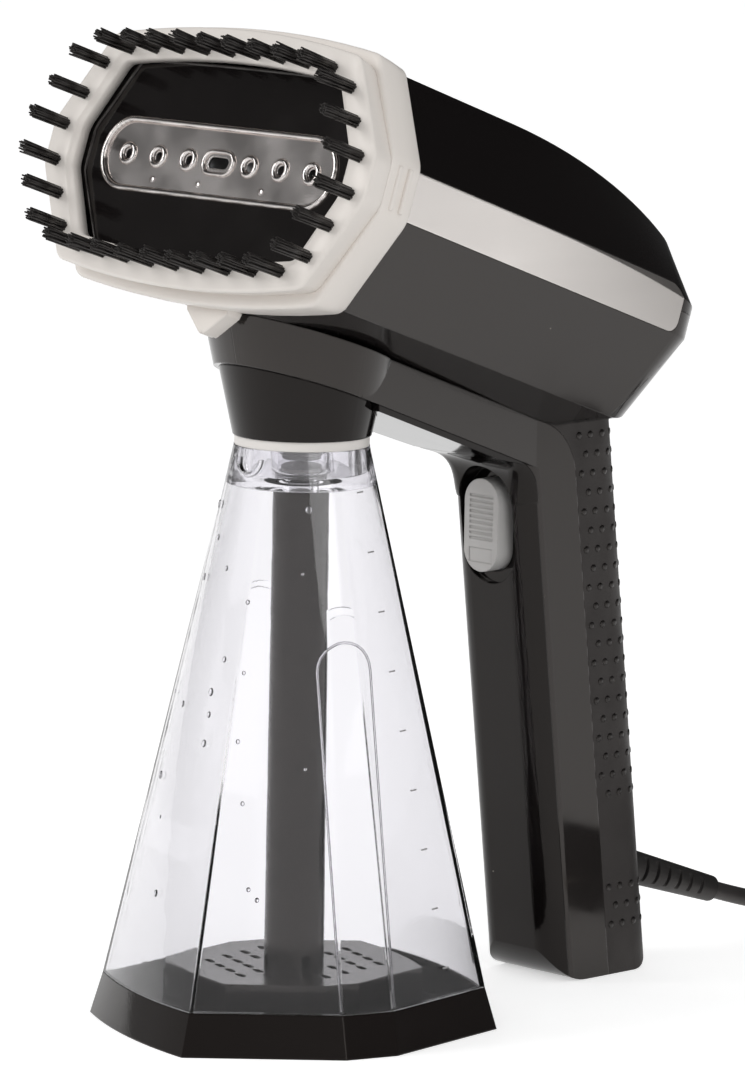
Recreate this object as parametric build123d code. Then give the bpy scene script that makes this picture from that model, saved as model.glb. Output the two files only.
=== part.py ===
from build123d import *
import math
import os

# Handheld garment steamer. Millimetres, +Z up, the steam head faces -Y.
# The origin is the centre of the water tank's underside.

# ---- steam head: an octagonal barrel whose axis dips towards the rear ----
HEAD_TILT = 19.0
ARM_REST_Y = -52.823
ARM_REST_Z = 225.579
BARREL_HALF_WIDTH = 65.2
BARREL_HALF_HEIGHT = 35.2
BARREL_BAND_HALF = 7.4
BARREL_TOP_INSET = 15.2
BARREL_BOTTOM_INSET = 18.2
BARREL_START = 8.8
BARREL_LENGTH = 174.7
BARREL_TAPER = 7.0
DOME_TIP_HEIGHT = -3.1
DOME_TOP_RUN = 103.4
DOME_SIDE_RUN = 25.7
DOME_TOP_START = BARREL_LENGTH - DOME_TOP_RUN
DOME_SIDE_START = BARREL_LENGTH - DOME_SIDE_RUN
DOME_FLAT = 1.2
SHELL_WALL = 2.2
BAND_THICKNESS = 1.2
BAND_START = 21.0
BAND_END = DOME_SIDE_START
BAND_CORNER_R = 4.0
REAR_CAP_LENGTH = 15.7
REAR_CAP_START = BARREL_LENGTH - REAR_CAP_LENGTH
REAR_CAP_SLANT = 0.28
KEEL_DEPTH = 4.8
KEEL_START = 22.5
KEEL_HALF_WIDTH = 18.0
HEAD_RISE = BARREL_HALF_HEIGHT + KEEL_DEPTH
HEAD_Y = ARM_REST_Y + HEAD_RISE * math.sin(math.radians(HEAD_TILT))
HEAD_Z = ARM_REST_Z + HEAD_RISE * math.cos(math.radians(HEAD_TILT))

# ---- faceplate and steam insert ----
FACE_DEPTH = 4.0
FACE_THICKNESS = 4.0
FACE_MARGIN = 3.6
FACE_STEP = 1.2
INSERT_LENGTH = 100.0
INSERT_HEIGHT = 22.5
INSERT_THICKNESS = 1.2
HOLE_PITCH = 13.1
DIMPLE_RADIUS = 3.1
HOLE_RADIUS = 1.5
SLOT_LENGTH = 8.4
SLOT_HEIGHT = 3.4

# ---- brush attachment ----
BRUSH_OUTSET = 3.6
BRUSH_HEIGHT_INSET = 0.2
BRUSH_HALF_WIDTH = BARREL_HALF_WIDTH + BRUSH_OUTSET
BRUSH_HALF_HEIGHT = BARREL_HALF_HEIGHT - BRUSH_HEIGHT_INSET
BRUSH_FLAT_HALF = 6.8
BRUSH_TOP_INSET = 16.4
BRUSH_BOW = 4.5
BRUSH_FRONT = 1.5
BRUSH_PLATE = 3.6
BRUSH_SIDE_BORDER = 11.5
BRUSH_TOP_BORDER = 8.3
OPENING_HALF_WIDTH = BRUSH_HALF_WIDTH - BRUSH_SIDE_BORDER
OPENING_HALF_HEIGHT = BRUSH_HALF_HEIGHT - BRUSH_TOP_BORDER
OPENING_FLAT_HALF = 6.0
OPENING_TOP_INSET = 11.3
OPENING_BOW = 3.2
LIP_STEP = 0.9
LIP_DEPTH = 1.2
LIP_WALL = 1.6
LIP_GAP = 0.6
RIM_START = 6.9
RIM_END = 20.6
RIM_OUTSET = 2.2
RIM_WEB = 1.5
RIM_HEIGHT_OUTSET = 2.8
RIM_BOW = 4.0
WAIST_INSET = 1.0
WAIST_WALL = 1.6
TAB_HALF_WIDTH = 8.5
TAB_DROP = 7.0
TAB_THICKNESS = 6.0
TUFT_RADIUS = 1.65
TUFT_TIP_RADIUS = 2.1
TUFT_LENGTH = 14.4
TUFT_SOCKET = 1.6
TUFTS_LONG = 9
TUFTS_SIDE = 6
TUFT_PITCH = 10.8
TUFT_ROW_INSET = 0.9
TUFT_ROW_BOW = 2.6
TUFT_CORNER_X = 3.5
TUFT_CORNER_Y = 5.5

# ---- water tank ----
TANK_TURN = -18.3
TANK_HALF_WIDTH = 55.0
TANK_END_HALF_WIDTH = 33.6
TANK_HALF_LENGTH = 52.2
TANK_END_BOW = 3.4
GROOVE_WIDTH = 16.8
GROOVE_TOP = 118.0
SKIRT_HEIGHT = 12.8
SKIRT_INSET = 3.3
SKIRT_FLOOR = 2.5
SKIRT_WALL = 2.4
TANK_WALL = 2.0
TANK_TOP = 176.2
NECK_RADIUS = 20.4
PLATE_SHARE = 0.62
PLATE_TOP = 18.0
PLATE_WALL = 1.6
TUBE_RADIUS_TOP = 8.4
TUBE_RADIUS_BOTTOM = 9.1
TUBE_BORE = 5.0
INSERT_DEPTH = 12.0
RING_HEIGHT = 3.0

# ---- neck, arm and handle ----
COLLAR_RADIUS = 20.9
COLLAR_SLOPE = 12.3
COLLAR_BORE = 17.0
ARM_THICKNESS = 14.0
ARCH_LIP = 2.0
ARM_TOP = -HEAD_RISE
ARM_BOTTOM = ARM_TOP - ARM_THICKNESS
ARCH_BOTTOM = ARM_BOTTOM - ARCH_LIP
ARM_STEP = 1.5
ARM_HALF_WIDTH_FRONT = 25.5
ARM_WAIST_Z = 160.0
HANDLE_HALF_WIDTH = 16.5
HANDLE_LEAN = 7.1
HANDLE_FRONT_Y = 97.3
HANDLE_DEPTH = 46.0
COVER_DEPTH = 6.4
PANEL_DEPTH = 17.6
HANDLE_FRONT_R = 8.0
HANDLE_REAR_R = 10.0
FOOT_FRONT_R = 16.0
FOOT_REAR_R = 10.0
OUTER_BEND_R = 20.0
INNER_BEND_R = 13.0
ARCH_START = 8.0
ARCH_EDGE_R = 1.9
ARCH_RUN = 12.0
SPINE_OVERHANG = 0.3
SPINE_DEPTH = BARREL_LENGTH + SPINE_OVERHANG
SPINE_TOP = -19.0
SPINE_DROP = 42.0

# ---- trigger ----
TRIGGER_WIDTH = 14.4
TRIGGER_HEIGHT = 29.0
TRIGGER_Z = 144.5
TRIGGER_FACE_Y = 76.9
TRIGGER_RIBS = 9                 # grooves across the trigger's upper face
TRIGGER_RIB_PITCH = 1.65
TRIGGER_RIB_GROOVE = 0.75
TRIGGER_GAP = 0.35
TRIGGER_FLANGE = 1.6
DISH_MARGIN = 4.0
DISH_Y = 83.4

# ---- mains cord ----
CORD_RADIUS = 2.8
BOOT_EXIT = (0.0, 139.4, 31.3)
BOOT_END = (0.0, 184.5, 16.8)
BOOT_RADIUS_ROOT = 5.6
BOOT_RADIUS_TIP = 4.2
BOOT_NECK_RADIUS = 4.2
BOOT_SLOTS = 6
BOOT_FLANGE = -7.6
COIL_X = 36.0
COIL_Y = 245.0
COIL_MEAN_RADIUS = 30.6
COIL_COLUMNS = 3
COIL_LAYERS = 4
COIL_SINK = 0.2
TIE_WIDTH = 10.0
TIE_THICKNESS = 0.8
PLUG_AXIS_Z = 13.0
PLUG_ASIDE = 62.0
PLUG_TURN = 21.0
PLUG_RUN = 24.0
PLUG_RADIUS = 18.0
PLUG_PIN_RADIUS = 2.4
PLUG_PIN_LENGTH = 19.0
PLUG_PIN_ROOT = 6.0
PLUG_PIN_ROOT_RADIUS = 2.0
PLUG_PIN_SPACING = 19.0
PLUG_RELIEF = 16.0
PLUG_GRIP = 24.0
PLUG_BASE = 10.0

# ---- inside the head, depths measured like FACE_DEPTH ----
CHAMBER_WIDTH = 92.0
CHAMBER_HEIGHT = 40.0
CHAMBER_DEPTH = 14.0
GASKET_THICKNESS = 1.0
CHAMBER_COVER_THICKNESS = 5.0
CHAMBER_WALL = 6.0
CHAMBER_WEB = 2.0
ELEMENT_RADIUS = 3.25
ELEMENT_HALF_PITCH = 11.0
ELEMENT_HALF_LENGTH = 40.0
ELEMENT_TAIL = 11.5
THERMOSTAT_RADIUS = 7.0
THERMOSTAT_HEIGHT = 8.0
FUSE_LENGTH = 14.0
FUSE_SIZE = 4.0
SCREW_RADIUS = 1.5
SCREW_HEAD_RADIUS = 2.7
SCREW_HEAD_HEIGHT = 2.0
HOSE_RADIUS = 4.6
HOSE_BORE = 3.0
HOSE_RISE = 28.8
HOSE_RUN_IN = 26.0
HOSE_BEND = 10.0
NIPPLE_BORE = 1.8
NIPPLE_LENGTH = 8.0
CHAMBER_PORT_X = 22.0
PUMP_START = 90.0
PUMP_BLOCK = 12.0
PUMP_MOTOR_LENGTH = 34.0
PUMP_RADIUS = 13.0
PUMP_HEIGHT = -5.0
PUMP_PORT_X = 8.0
MOUNT_DEPTHS = (107.0, 127.0)
MOUNT_THICKNESS = 6.0
ARM_SCREW_DEPTHS = (84.0, 118.0)
ARM_SCREW_X = 12.0
ARM_BOSS_RADIUS = 3.6
ARM_BOSS_LENGTH = 10.0
HOSE_HOLE_DEPTH = 56.0
HOSE_HOLE_RADIUS = 10.0
WIRE_HOLE_RADIUS = 6.0
WIRE_HOLE_GAP = 3.0
WIRE_HOLE_DEPTH = MOUNT_DEPTHS[1] + MOUNT_THICKNESS / 2 + WIRE_HOLE_GAP + WIRE_HOLE_RADIUS
WIRE_RADIUS = 1.2
WIRE_SPREAD = 3.2
WIRE_ASIDE = 30.0
WIRE_HEIGHT = -26.0

# ---- inlet between tank and head ----
COLLAR_WEB = 3.0
COLLAR_CUP = 12.0
SPIGOT_RADIUS = 6.0
SPIGOT_LOW = 171.0
SPIGOT_FLANGE_RADIUS = 9.0
SPIGOT_FLANGE = 2.0
SEAL_RADIUS = 0.9
SOCKET_RADIUS = 7.4
SLEEVE_LENGTH = 8.0
SLEEVE_WALL = 2.6

# ---- inside the handle ----
LEVER_Y = 93.0
LEVER_THICKNESS = 0.6
LEVER_HALF_WIDTH = 2.6
LEVER_PIVOT_Y = 94.6
LEVER_PIVOT_Z = 132.0
LEVER_TOP = 152.0
KNUCKLE_RADIUS = 1.7
PIN_RADIUS = 0.8
PIN_CLEARANCE = 0.06
SWITCH_LOW = 126.0
SWITCH_HIGH = 146.0
SWITCH_FRONT = 96.6
SWITCH_DEPTH = 10.0
SWITCH_HALF_WIDTH = 3.2
BRACKET_THICKNESS = 2.0
POST_Z = 150.5
POST_RADIUS = 2.0
POST_GAP = 0.6
BLOCK_LOW = 60.0
BLOCK_HIGH = 78.0
BLOCK_FRONT = 104.0
BLOCK_DEPTH = 10.0
BLOCK_WIDTH = 18.0
CLAMP_Y = 124.0
CLAMP_DEPTH = 8.0
CLAMP_WIDTH = 18.0
CLAMP_SCREW_X = 6.5

FIT_GAP = 0.3
RUN_GAP = 0.05


HEAD = Plane(
    origin=(0, HEAD_Y, HEAD_Z),
    x_dir=(1, 0, 0),
    z_dir=(0, -math.cos(math.radians(HEAD_TILT)), math.sin(math.radians(HEAD_TILT))),
)
HEAD_SIDE = Plane(origin=(0, 0, 0), x_dir=(0, 0, -1), z_dir=(1, 0, 0))
LEAN = math.tan(math.radians(HANDLE_LEAN))
BIG = 400.0
UP = (Align.CENTER, Align.CENTER, Align.MIN)
DOWN = (Align.CENTER, Align.CENTER, Align.MAX)


# ---------------------------------------------------------------- helpers
def in_head(shape):
    """Place a shape drawn in head axes: x across, y up the face, -z into the barrel."""
    return HEAD.location * shape


def in_tank(shape):
    """Turn a shape about the tank's own axis."""
    return Rot(0, 0, TANK_TURN) * shape


def head_point(depth, height):
    """(y, z) of a point of the mid plane given in head axes."""
    tilt = math.radians(HEAD_TILT)
    y = HEAD_Y + depth * math.cos(tilt) + height * math.sin(tilt)
    z = HEAD_Z - depth * math.sin(tilt) + height * math.cos(tilt)
    return (y, z)


def head_world(across, height, depth):
    """World point from head axes."""
    y, z = head_point(depth, height)
    return (across, y, z)


def leg_y(offset, z):
    """y of the handle's leaning line, offset behind its front face."""
    return HANDLE_FRONT_Y + offset - LEAN * z


def rounded(corners):
    """Closed face through (x, y, radius) corners."""
    points = [(x, y) for x, y, radius in corners]
    radii = [radius for x, y, radius in corners]
    return make_face(FilletPolyline(*points, radius=radii, close=True))


def side_prism(corners, half_width=BIG / 2):
    """Solid from a rounded outline in the (y, z) mid plane, equally far to both sides."""
    return extrude(Plane.YZ * rounded(corners), half_width, both=True)


def head_prism(face, start, end):
    """Solid from a face in head axes, between two depths behind the face datum."""
    return extrude(Pos(0, 0, -end) * face, end - start, dir=(0, 0, 1))


def side_cut(corners):
    """Prism across the head from a rounded (depth, height, radius) outline of its side."""
    return extrude(HEAD_SIDE * rounded(corners), BIG / 2, both=True)


def head_slab(low, high, start=-BIG / 2, end=BIG):
    """Everything between two heights of the head axes."""
    return in_head(Pos(0, (low + high) / 2, -(start + end) / 2) * Box(BIG, high - low, end - start))


def below(height):
    """Half space under a plane parallel to the barrel axis."""
    return head_slab(height - BIG, height)


def racetrack(width, height):
    """Upright slot-shaped face in a plane facing the trigger."""
    return SlotOverall(height, width, rotation=90)


def corner_radii(points):
    """Bend radii that use up 0.45 of the shorter run at every corner."""
    radii = []
    for before, here, after in zip(points, points[1:], points[2:]):
        run_in = Vector(*here) - Vector(*before)
        run_out = Vector(*after) - Vector(*here)
        turn = math.radians(run_in.get_angle(run_out))
        shorter = min(run_in.length, run_out.length)
        radii.append(0.45 * shorter / math.tan(turn / 2))
    return radii


def tube(points, radius, radii, bore=0.0):
    """Straight runs joined by tangent arcs, with a bore if one is given."""
    path = FilletPolyline(*points, radius=radii)
    start = Plane(origin=path @ 0, z_dir=path % 0)
    body = sweep(start * Circle(radius), path=path)
    if bore:
        body = body - sweep(start * Circle(bore), path=path)
    return body


def octagon(half_width, half_height, flat_half, top_inset, bottom_inset=None, bow=0.0):
    """Closed octagonal face, its top and bottom edges bowed out where a bow is given."""
    low_inset = top_inset if bottom_inset is None else bottom_inset
    x = half_width
    top = half_width - top_inset
    low = half_width - low_inset
    right = Polyline((low, -half_height), (x, -flat_half), (x, flat_half), (top, half_height))
    left = Polyline((-top, half_height), (-x, flat_half), (-x, -flat_half), (-low, -half_height))
    if bow:
        roof = ThreePointArc((top, half_height), (0, half_height + bow), (-top, half_height))
        base = ThreePointArc((-low, -half_height), (0, -half_height - bow), (low, -half_height))
    else:
        roof = Line((top, half_height), (-top, half_height))
        base = Line((-low, -half_height), (low, -half_height))
    return make_face([right, roof, left, base])


def largest(shape):
    """The biggest solid of a result."""
    return sorted(shape.solids(), key=lambda item: item.volume)[-1]


# ---------------------------------------------------------------- barrel
def share_left(depth, start, inset):
    """Share of a size that is left at a depth, where the barrel rounds off toward its tip."""
    share = (depth - start) / (BARREL_LENGTH - inset - start)
    return math.sqrt(1 - min(max(share, 0.0), 1.0) ** 2)


def barrel_section(inset, depth):
    """Octagon with a shallow keel under it, at a depth behind the face datum."""
    narrowing = BARREL_TAPER * depth / BARREL_LENGTH
    side = share_left(depth, DOME_SIDE_START, inset)
    roof = share_left(depth, DOME_TOP_START, inset)
    x = (BARREL_HALF_WIDTH - inset - narrowing) * side
    top = x - (BARREL_TOP_INSET - inset * 0.45) * side
    low = x - (BARREL_BOTTOM_INSET - inset * 0.45) * side
    k = KEEL_HALF_WIDTH * side

    def level(height, share):
        return DOME_TIP_HEIGHT + (height - DOME_TIP_HEIGHT) * share

    band_half = BARREL_BAND_HALF - inset * 0.25
    upper = level(band_half, roof)
    lower = level(-band_half, side)
    high = level(BARREL_HALF_HEIGHT - inset, roof)
    base = level(inset - BARREL_HALF_HEIGHT, side)
    keel = level(inset - BARREL_HALF_HEIGHT - KEEL_DEPTH, side)
    points = [(low, base), (x, lower), (x, upper), (top, high), (-top, high), (-x, upper), (-x, lower)]
    points += [(-low, base), (-k, keel), (k, keel)]
    return Pos(0, 0, -depth) * make_face(Polyline(*points, close=True))


def barrel_block(inset):
    """Solid barrel with a rounded rear end, pulled in all round by the inset."""
    span = BARREL_LENGTH - inset - DOME_SIDE_START
    front = loft([barrel_section(inset, -20), barrel_section(inset, DOME_TOP_START)], ruled=True)
    run = DOME_SIDE_START - DOME_TOP_START
    sloping = [barrel_section(inset, DOME_TOP_START + run * i / 5) for i in range(6)]
    last = math.asin((span - DOME_FLAT) / span)
    rounding = [barrel_section(inset, DOME_SIDE_START + span * math.sin(last * i / 6)) for i in range(7)]
    body = front + loft(sloping) + loft(rounding)
    chin = Pos(0, -BARREL_HALF_HEIGHT + inset - BIG / 2, -KEEL_START - inset + BIG / 2) * Box(BIG, BIG, BIG)
    return body - chin


def arm_screw_places():
    """(across, depth) of the screws between the lower shell and the arm."""
    places = []
    for depth in ARM_SCREW_DEPTHS:
        places += [(ARM_SCREW_X, depth), (-ARM_SCREW_X, depth)]
    return places


def barrel_parts():
    """Upper cover with its rear cap, the two bands and the lower shell."""
    outer = barrel_block(0)
    wall = outer - barrel_block(SHELL_WALL)
    skin = barrel_block(BAND_THICKNESS)
    far = BARREL_LENGTH + 40
    start = BARREL_START

    band_face = BARREL_BAND_HALF
    pocket = side_cut([
        (BAND_START, -band_face, 0), (BAND_END, -band_face, BAND_CORNER_R),
        (BAND_END, band_face, BAND_CORNER_R), (BAND_START, band_face, 0),
    ])
    strip = (outer - skin) & pocket
    walls = wall - strip
    foot = REAR_CAP_START - 90 * REAR_CAP_SLANT
    lower_zone = side_cut([(start, 0, 0), (start, -90, 0), (foot, -90, 0), (REAR_CAP_START, 0, 0)])
    rear_zone = side_cut([(foot, -90, 0), (far, -90, 0), (far, 0, 0), (REAR_CAP_START, 0, 0)])
    upper_zone = side_cut([(start, 0, 0), (far, 0, 0), (far, 90, 0), (start, 90, 0)])
    cover = (walls & upper_zone) + (walls & rear_zone)
    lower = walls & lower_zone
    holes = [(0, HOSE_HOLE_DEPTH, HOSE_HOLE_RADIUS), (0, WIRE_HOLE_DEPTH, WIRE_HOLE_RADIUS)]
    holes += [(across, depth, SCREW_RADIUS) for across, depth in arm_screw_places()]
    for across, depth, radius in holes:
        lower = lower - Pos(across, -BARREL_HALF_HEIGHT, -depth) * Rot(90, 0, 0) * Cylinder(radius, 30)
    right = strip & Pos(BIG / 2, 0, 0) * Box(BIG, BIG, 2 * BIG)
    left = strip & Pos(-BIG / 2, 0, 0) * Box(BIG, BIG, 2 * BIG)
    return in_head(cover), in_head(largest(right)), in_head(largest(left)), in_head(lower)


# ---------------------------------------------------------------- faceplate
def face_parts():
    """Faceplate, chrome steam insert and the bezel that carries them."""
    half_width = BARREL_HALF_WIDTH - FACE_MARGIN
    half_height = BARREL_HALF_HEIGHT - FACE_MARGIN
    flat = BARREL_BAND_HALF - 0.6
    top_inset = BARREL_TOP_INSET
    low_inset = BARREL_BOTTOM_INSET
    front = FACE_DEPTH
    back = FACE_DEPTH + FACE_THICKNESS
    plate = head_prism(octagon(half_width - 2.4, half_height - 2.4, flat, top_inset, low_inset), front, back)
    rim = head_prism(octagon(half_width, half_height, flat, top_inset, low_inset), front + FACE_STEP, back)
    insert_seat = head_prism(SlotOverall(INSERT_LENGTH, INSERT_HEIGHT), front - 1, front + INSERT_THICKNESS)
    channel = head_prism(SlotOverall(INSERT_LENGTH - 5, INSERT_HEIGHT - 5), front - 1, back + 1)
    plate = plate + rim - insert_seat - channel

    insert = head_prism(SlotOverall(INSERT_LENGTH, INSERT_HEIGHT), front, front + INSERT_THICKNESS)
    dish = head_prism(SlotOverall(INSERT_LENGTH - 2, INSERT_HEIGHT - 2), front - 1, front + 0.35)
    cups = []
    for index in (-3, -2, -1, 1, 2, 3):
        spot = Pos(index * HOLE_PITCH, 0, -front - 0.35)
        cups.append(spot * Cone(HOLE_RADIUS, DIMPLE_RADIUS, 0.5, align=DOWN))
        cups.append(spot * Cylinder(HOLE_RADIUS, 4))
    cups.append(head_prism(SlotOverall(SLOT_LENGTH, SLOT_HEIGHT), front - 1, back))
    insert = insert - dish - cups

    bezel_front = front + FACE_STEP + 0.3
    bezel_end = back + 5
    slab = Pos(0, 0, -(bezel_front + bezel_end) / 2) * Box(BIG, BIG, bezel_end - bezel_front)
    bezel = barrel_block(SHELL_WALL) & slab
    bezel = bezel - head_prism(octagon(half_width, half_height, flat, top_inset, low_inset), 0, back)
    window = octagon(half_width - 4, half_height - 4, flat, top_inset, low_inset)
    bezel = bezel - head_prism(window, 0, bezel_end + 1)
    return in_head(plate), in_head(insert), in_head(bezel)


# ---------------------------------------------------------------- brush attachment
def tuft_places():
    """(x, y) of every bristle tuft, along the rows above and below and round both sides."""
    mid_x = (BRUSH_HALF_WIDTH + OPENING_HALF_WIDTH) / 2
    mid_y = (BRUSH_HALF_HEIGHT + OPENING_HALF_HEIGHT) / 2
    corner_x = mid_x - (BRUSH_TOP_INSET + OPENING_TOP_INSET) / 2
    flat = (BRUSH_FLAT_HALF + OPENING_FLAT_HALF) / 2
    row_y = mid_y - TUFT_ROW_INSET
    places = []
    for side in (1, -1):
        for i in range(TUFTS_LONG):
            x = (i - (TUFTS_LONG - 1) / 2) * TUFT_PITCH
            y = row_y + TUFT_ROW_BOW * (1 - (x / corner_x) ** 2)
            places.append((x, side * y))
        high = (corner_x + TUFT_CORNER_X, mid_y - TUFT_CORNER_Y)
        path = Polyline(high, (mid_x, flat), (mid_x, -flat), (high[0], -high[1]))
        for i in range(TUFTS_SIDE):
            point = path @ (i / (TUFTS_SIDE - 1))
            places.append((side * point.X, point.Y))
    return places


def brush_parts():
    """Frame that carries the bristles, the clip-on rim behind it and the tufts."""
    front = -BRUSH_FRONT
    plate_back = BRUSH_PLATE - BRUSH_FRONT
    waist_end = RIM_START + 0.5
    web_end = RIM_START + RIM_WEB
    rim_width = BARREL_HALF_WIDTH + RIM_OUTSET
    rim_height = BARREL_HALF_HEIGHT + RIM_HEIGHT_OUTSET
    flat = BRUSH_FLAT_HALF
    inset = BRUSH_TOP_INSET
    outer = octagon(BRUSH_HALF_WIDTH, BRUSH_HALF_HEIGHT, flat, inset, bow=BRUSH_BOW)

    def opening(grow):
        width = OPENING_HALF_WIDTH + grow
        height = OPENING_HALF_HEIGHT + grow
        return octagon(width, height, OPENING_FLAT_HALF, OPENING_TOP_INSET, bow=OPENING_BOW)

    waist_width = rim_width - WAIST_INSET
    waist = octagon(waist_width, BRUSH_HALF_HEIGHT, flat + 0.3, inset, bow=RIM_BOW)
    hollow_width = waist_width - WAIST_WALL
    hollow = octagon(hollow_width, BRUSH_HALF_HEIGHT - WAIST_WALL, flat, inset - 0.8, bow=RIM_BOW)
    lip_end = FACE_DEPTH - LIP_GAP
    frame = head_prism(outer, front, plate_back)
    frame = frame + head_prism(waist, plate_back, waist_end) - head_prism(hollow, plate_back, waist_end + 1)
    frame = frame + head_prism(opening(LIP_WALL), plate_back, lip_end)
    frame = frame - head_prism(opening(0), front - 1, lip_end + 1)
    frame = frame - head_prism(opening(LIP_STEP), front - 1, front + LIP_DEPTH)

    rim_face = octagon(rim_width, rim_height, flat + 1.4, inset, bow=RIM_BOW)
    rim = head_prism(rim_face, RIM_START, RIM_END)
    bore = octagon(BARREL_HALF_WIDTH + FIT_GAP, BARREL_HALF_HEIGHT + FIT_GAP, BARREL_BAND_HALF + 0.1,
                   BARREL_TOP_INSET, BARREL_BOTTOM_INSET - 2.6)
    rim = rim - head_prism(bore, web_end, RIM_END + 1)
    rim = rim - head_prism(waist, 0, waist_end) - head_prism(hollow, 0, web_end + 1)
    middle = (RIM_START + RIM_END) / 2
    for side in (1, -1):
        for offset in (-2.6, 2.6):
            rim = rim + Pos(side * rim_width, 0, offset - middle) * Box(1.6, 12.5, 1.5)
    tab_top = -rim_height - RIM_BOW + 2
    tab = rounded([
        (-TAB_HALF_WIDTH, tab_top, 0), (-TAB_HALF_WIDTH, tab_top - 2.6, 1.2),
        (0, tab_top - 2 - TAB_DROP, 1.5), (TAB_HALF_WIDTH, tab_top - 2.6, 1.2),
        (TAB_HALF_WIDTH, tab_top, 0),
    ])
    rim = rim + head_prism(tab, RIM_END - TAB_THICKNESS, RIM_END)

    tufts = []
    for x, y in tuft_places():
        spot = Pos(x, y, BRUSH_FRONT)
        root = spot * Pos(0, 0, -TUFT_SOCKET) * Cylinder(TUFT_RADIUS, TUFT_SOCKET, align=UP)
        tufts.append(root + spot * Cone(TUFT_RADIUS, TUFT_TIP_RADIUS, TUFT_LENGTH, align=UP))
        frame = frame - root
    return in_head(frame), in_head(rim), in_head(Compound(children=tufts))


# ---------------------------------------------------------------- water tank
def tank_face(inset, corner_cut=True):
    """Outline of the tank: bowed ends, straight sides and a flat for the finger groove."""
    end_x = TANK_END_HALF_WIDTH - inset * 0.6
    end_y = TANK_HALF_LENGTH - inset
    side_x = TANK_HALF_WIDTH - inset
    groove = GROOVE_WIDTH / 2
    slope = (TANK_HALF_WIDTH - TANK_END_HALF_WIDTH) / (TANK_HALF_LENGTH - groove)
    edges = []
    corners = [(end_x, -end_y)]
    if corner_cut:
        corners += [(side_x, -groove), (side_x, groove)]
    else:
        corners += [(side_x + groove * slope, 0)]
    corners += [(end_x, end_y), (-end_x, end_y)]
    if corner_cut:
        corners += [(-side_x, groove), (-side_x, -groove)]
    else:
        corners += [(-side_x - groove * slope, 0)]
    corners += [(-end_x, -end_y)]
    for i, point in enumerate(corners):
        following = corners[(i + 1) % len(corners)]
        if abs(point[1]) == end_y and point[1] == following[1]:
            bow = math.copysign(end_y + TANK_END_BOW, point[1])
            edges.append(ThreePointArc(point, (0, bow), following))
        else:
            edges.append(Line(point, following))
    return make_face(edges)


def neck_face(radius):
    """Circle cut into arcs that line up with the tank's corners."""
    slope = (TANK_HALF_WIDTH - TANK_END_HALF_WIDTH) / (TANK_HALF_LENGTH - GROOVE_WIDTH / 2)
    corner = math.degrees(math.atan2(TANK_HALF_LENGTH, TANK_END_HALF_WIDTH))
    angles = [-corner, 0, corner, 180 - corner, 180, 180 + corner]
    edges = []
    for i, start in enumerate(angles):
        end = angles[(i + 1) % len(angles)] + (360 if i == len(angles) - 1 else 0)
        middle = (start + end) / 2
        points = []
        for angle in (start, middle, end):
            points.append((radius * math.cos(math.radians(angle)), radius * math.sin(math.radians(angle))))
        edges.append(ThreePointArc(*points))
    return make_face(edges)


def tank_cone(inset):
    """Six-sided cone that runs out into the round neck."""
    bottom = Pos(0, 0, SKIRT_HEIGHT) * tank_face(SKIRT_INSET + inset, corner_cut=False)
    top = Pos(0, 0, TANK_TOP) * neck_face(NECK_RADIUS - inset)
    body = loft([bottom, top], ruled=True)
    groove = GROOVE_WIDTH / 2
    corner = TANK_HALF_WIDTH - SKIRT_INSET
    slope = (corner - NECK_RADIUS) / (TANK_TOP - SKIRT_HEIGHT)
    arch = rounded([(-groove - inset, -20, 0), (groove + inset, -20, 0),
                    (groove + inset, GROOVE_TOP + inset, groove + inset - 0.1),
                    (-groove - inset, GROOVE_TOP + inset, groove + inset - 0.1)])
    for side in (1, -1):
        tilt = math.degrees(math.atan(slope)) * side
        lean = Plane(origin=(side * (corner - inset), 0, SKIRT_HEIGHT), x_dir=(0, side, 0),
                     z_dir=(side * math.cos(math.radians(tilt)), 0, abs(math.sin(math.radians(tilt)))))
        body = body - lean * extrude(arch, 30)
    return body


def rim_loop():
    """Small D-shaped loop moulded on the tank's front just under the rim."""
    arc = ThreePointArc((-4.5, -NECK_RADIUS - 0.5, TANK_TOP - 2.8), (0, -NECK_RADIUS - 1.7, TANK_TOP - 7.6),
                        (4.5, -NECK_RADIUS - 0.5, TANK_TOP - 2.8))
    return sweep(Plane(origin=arc @ 0, z_dir=arc % 0) * Circle(0.8), path=arc)


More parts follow.
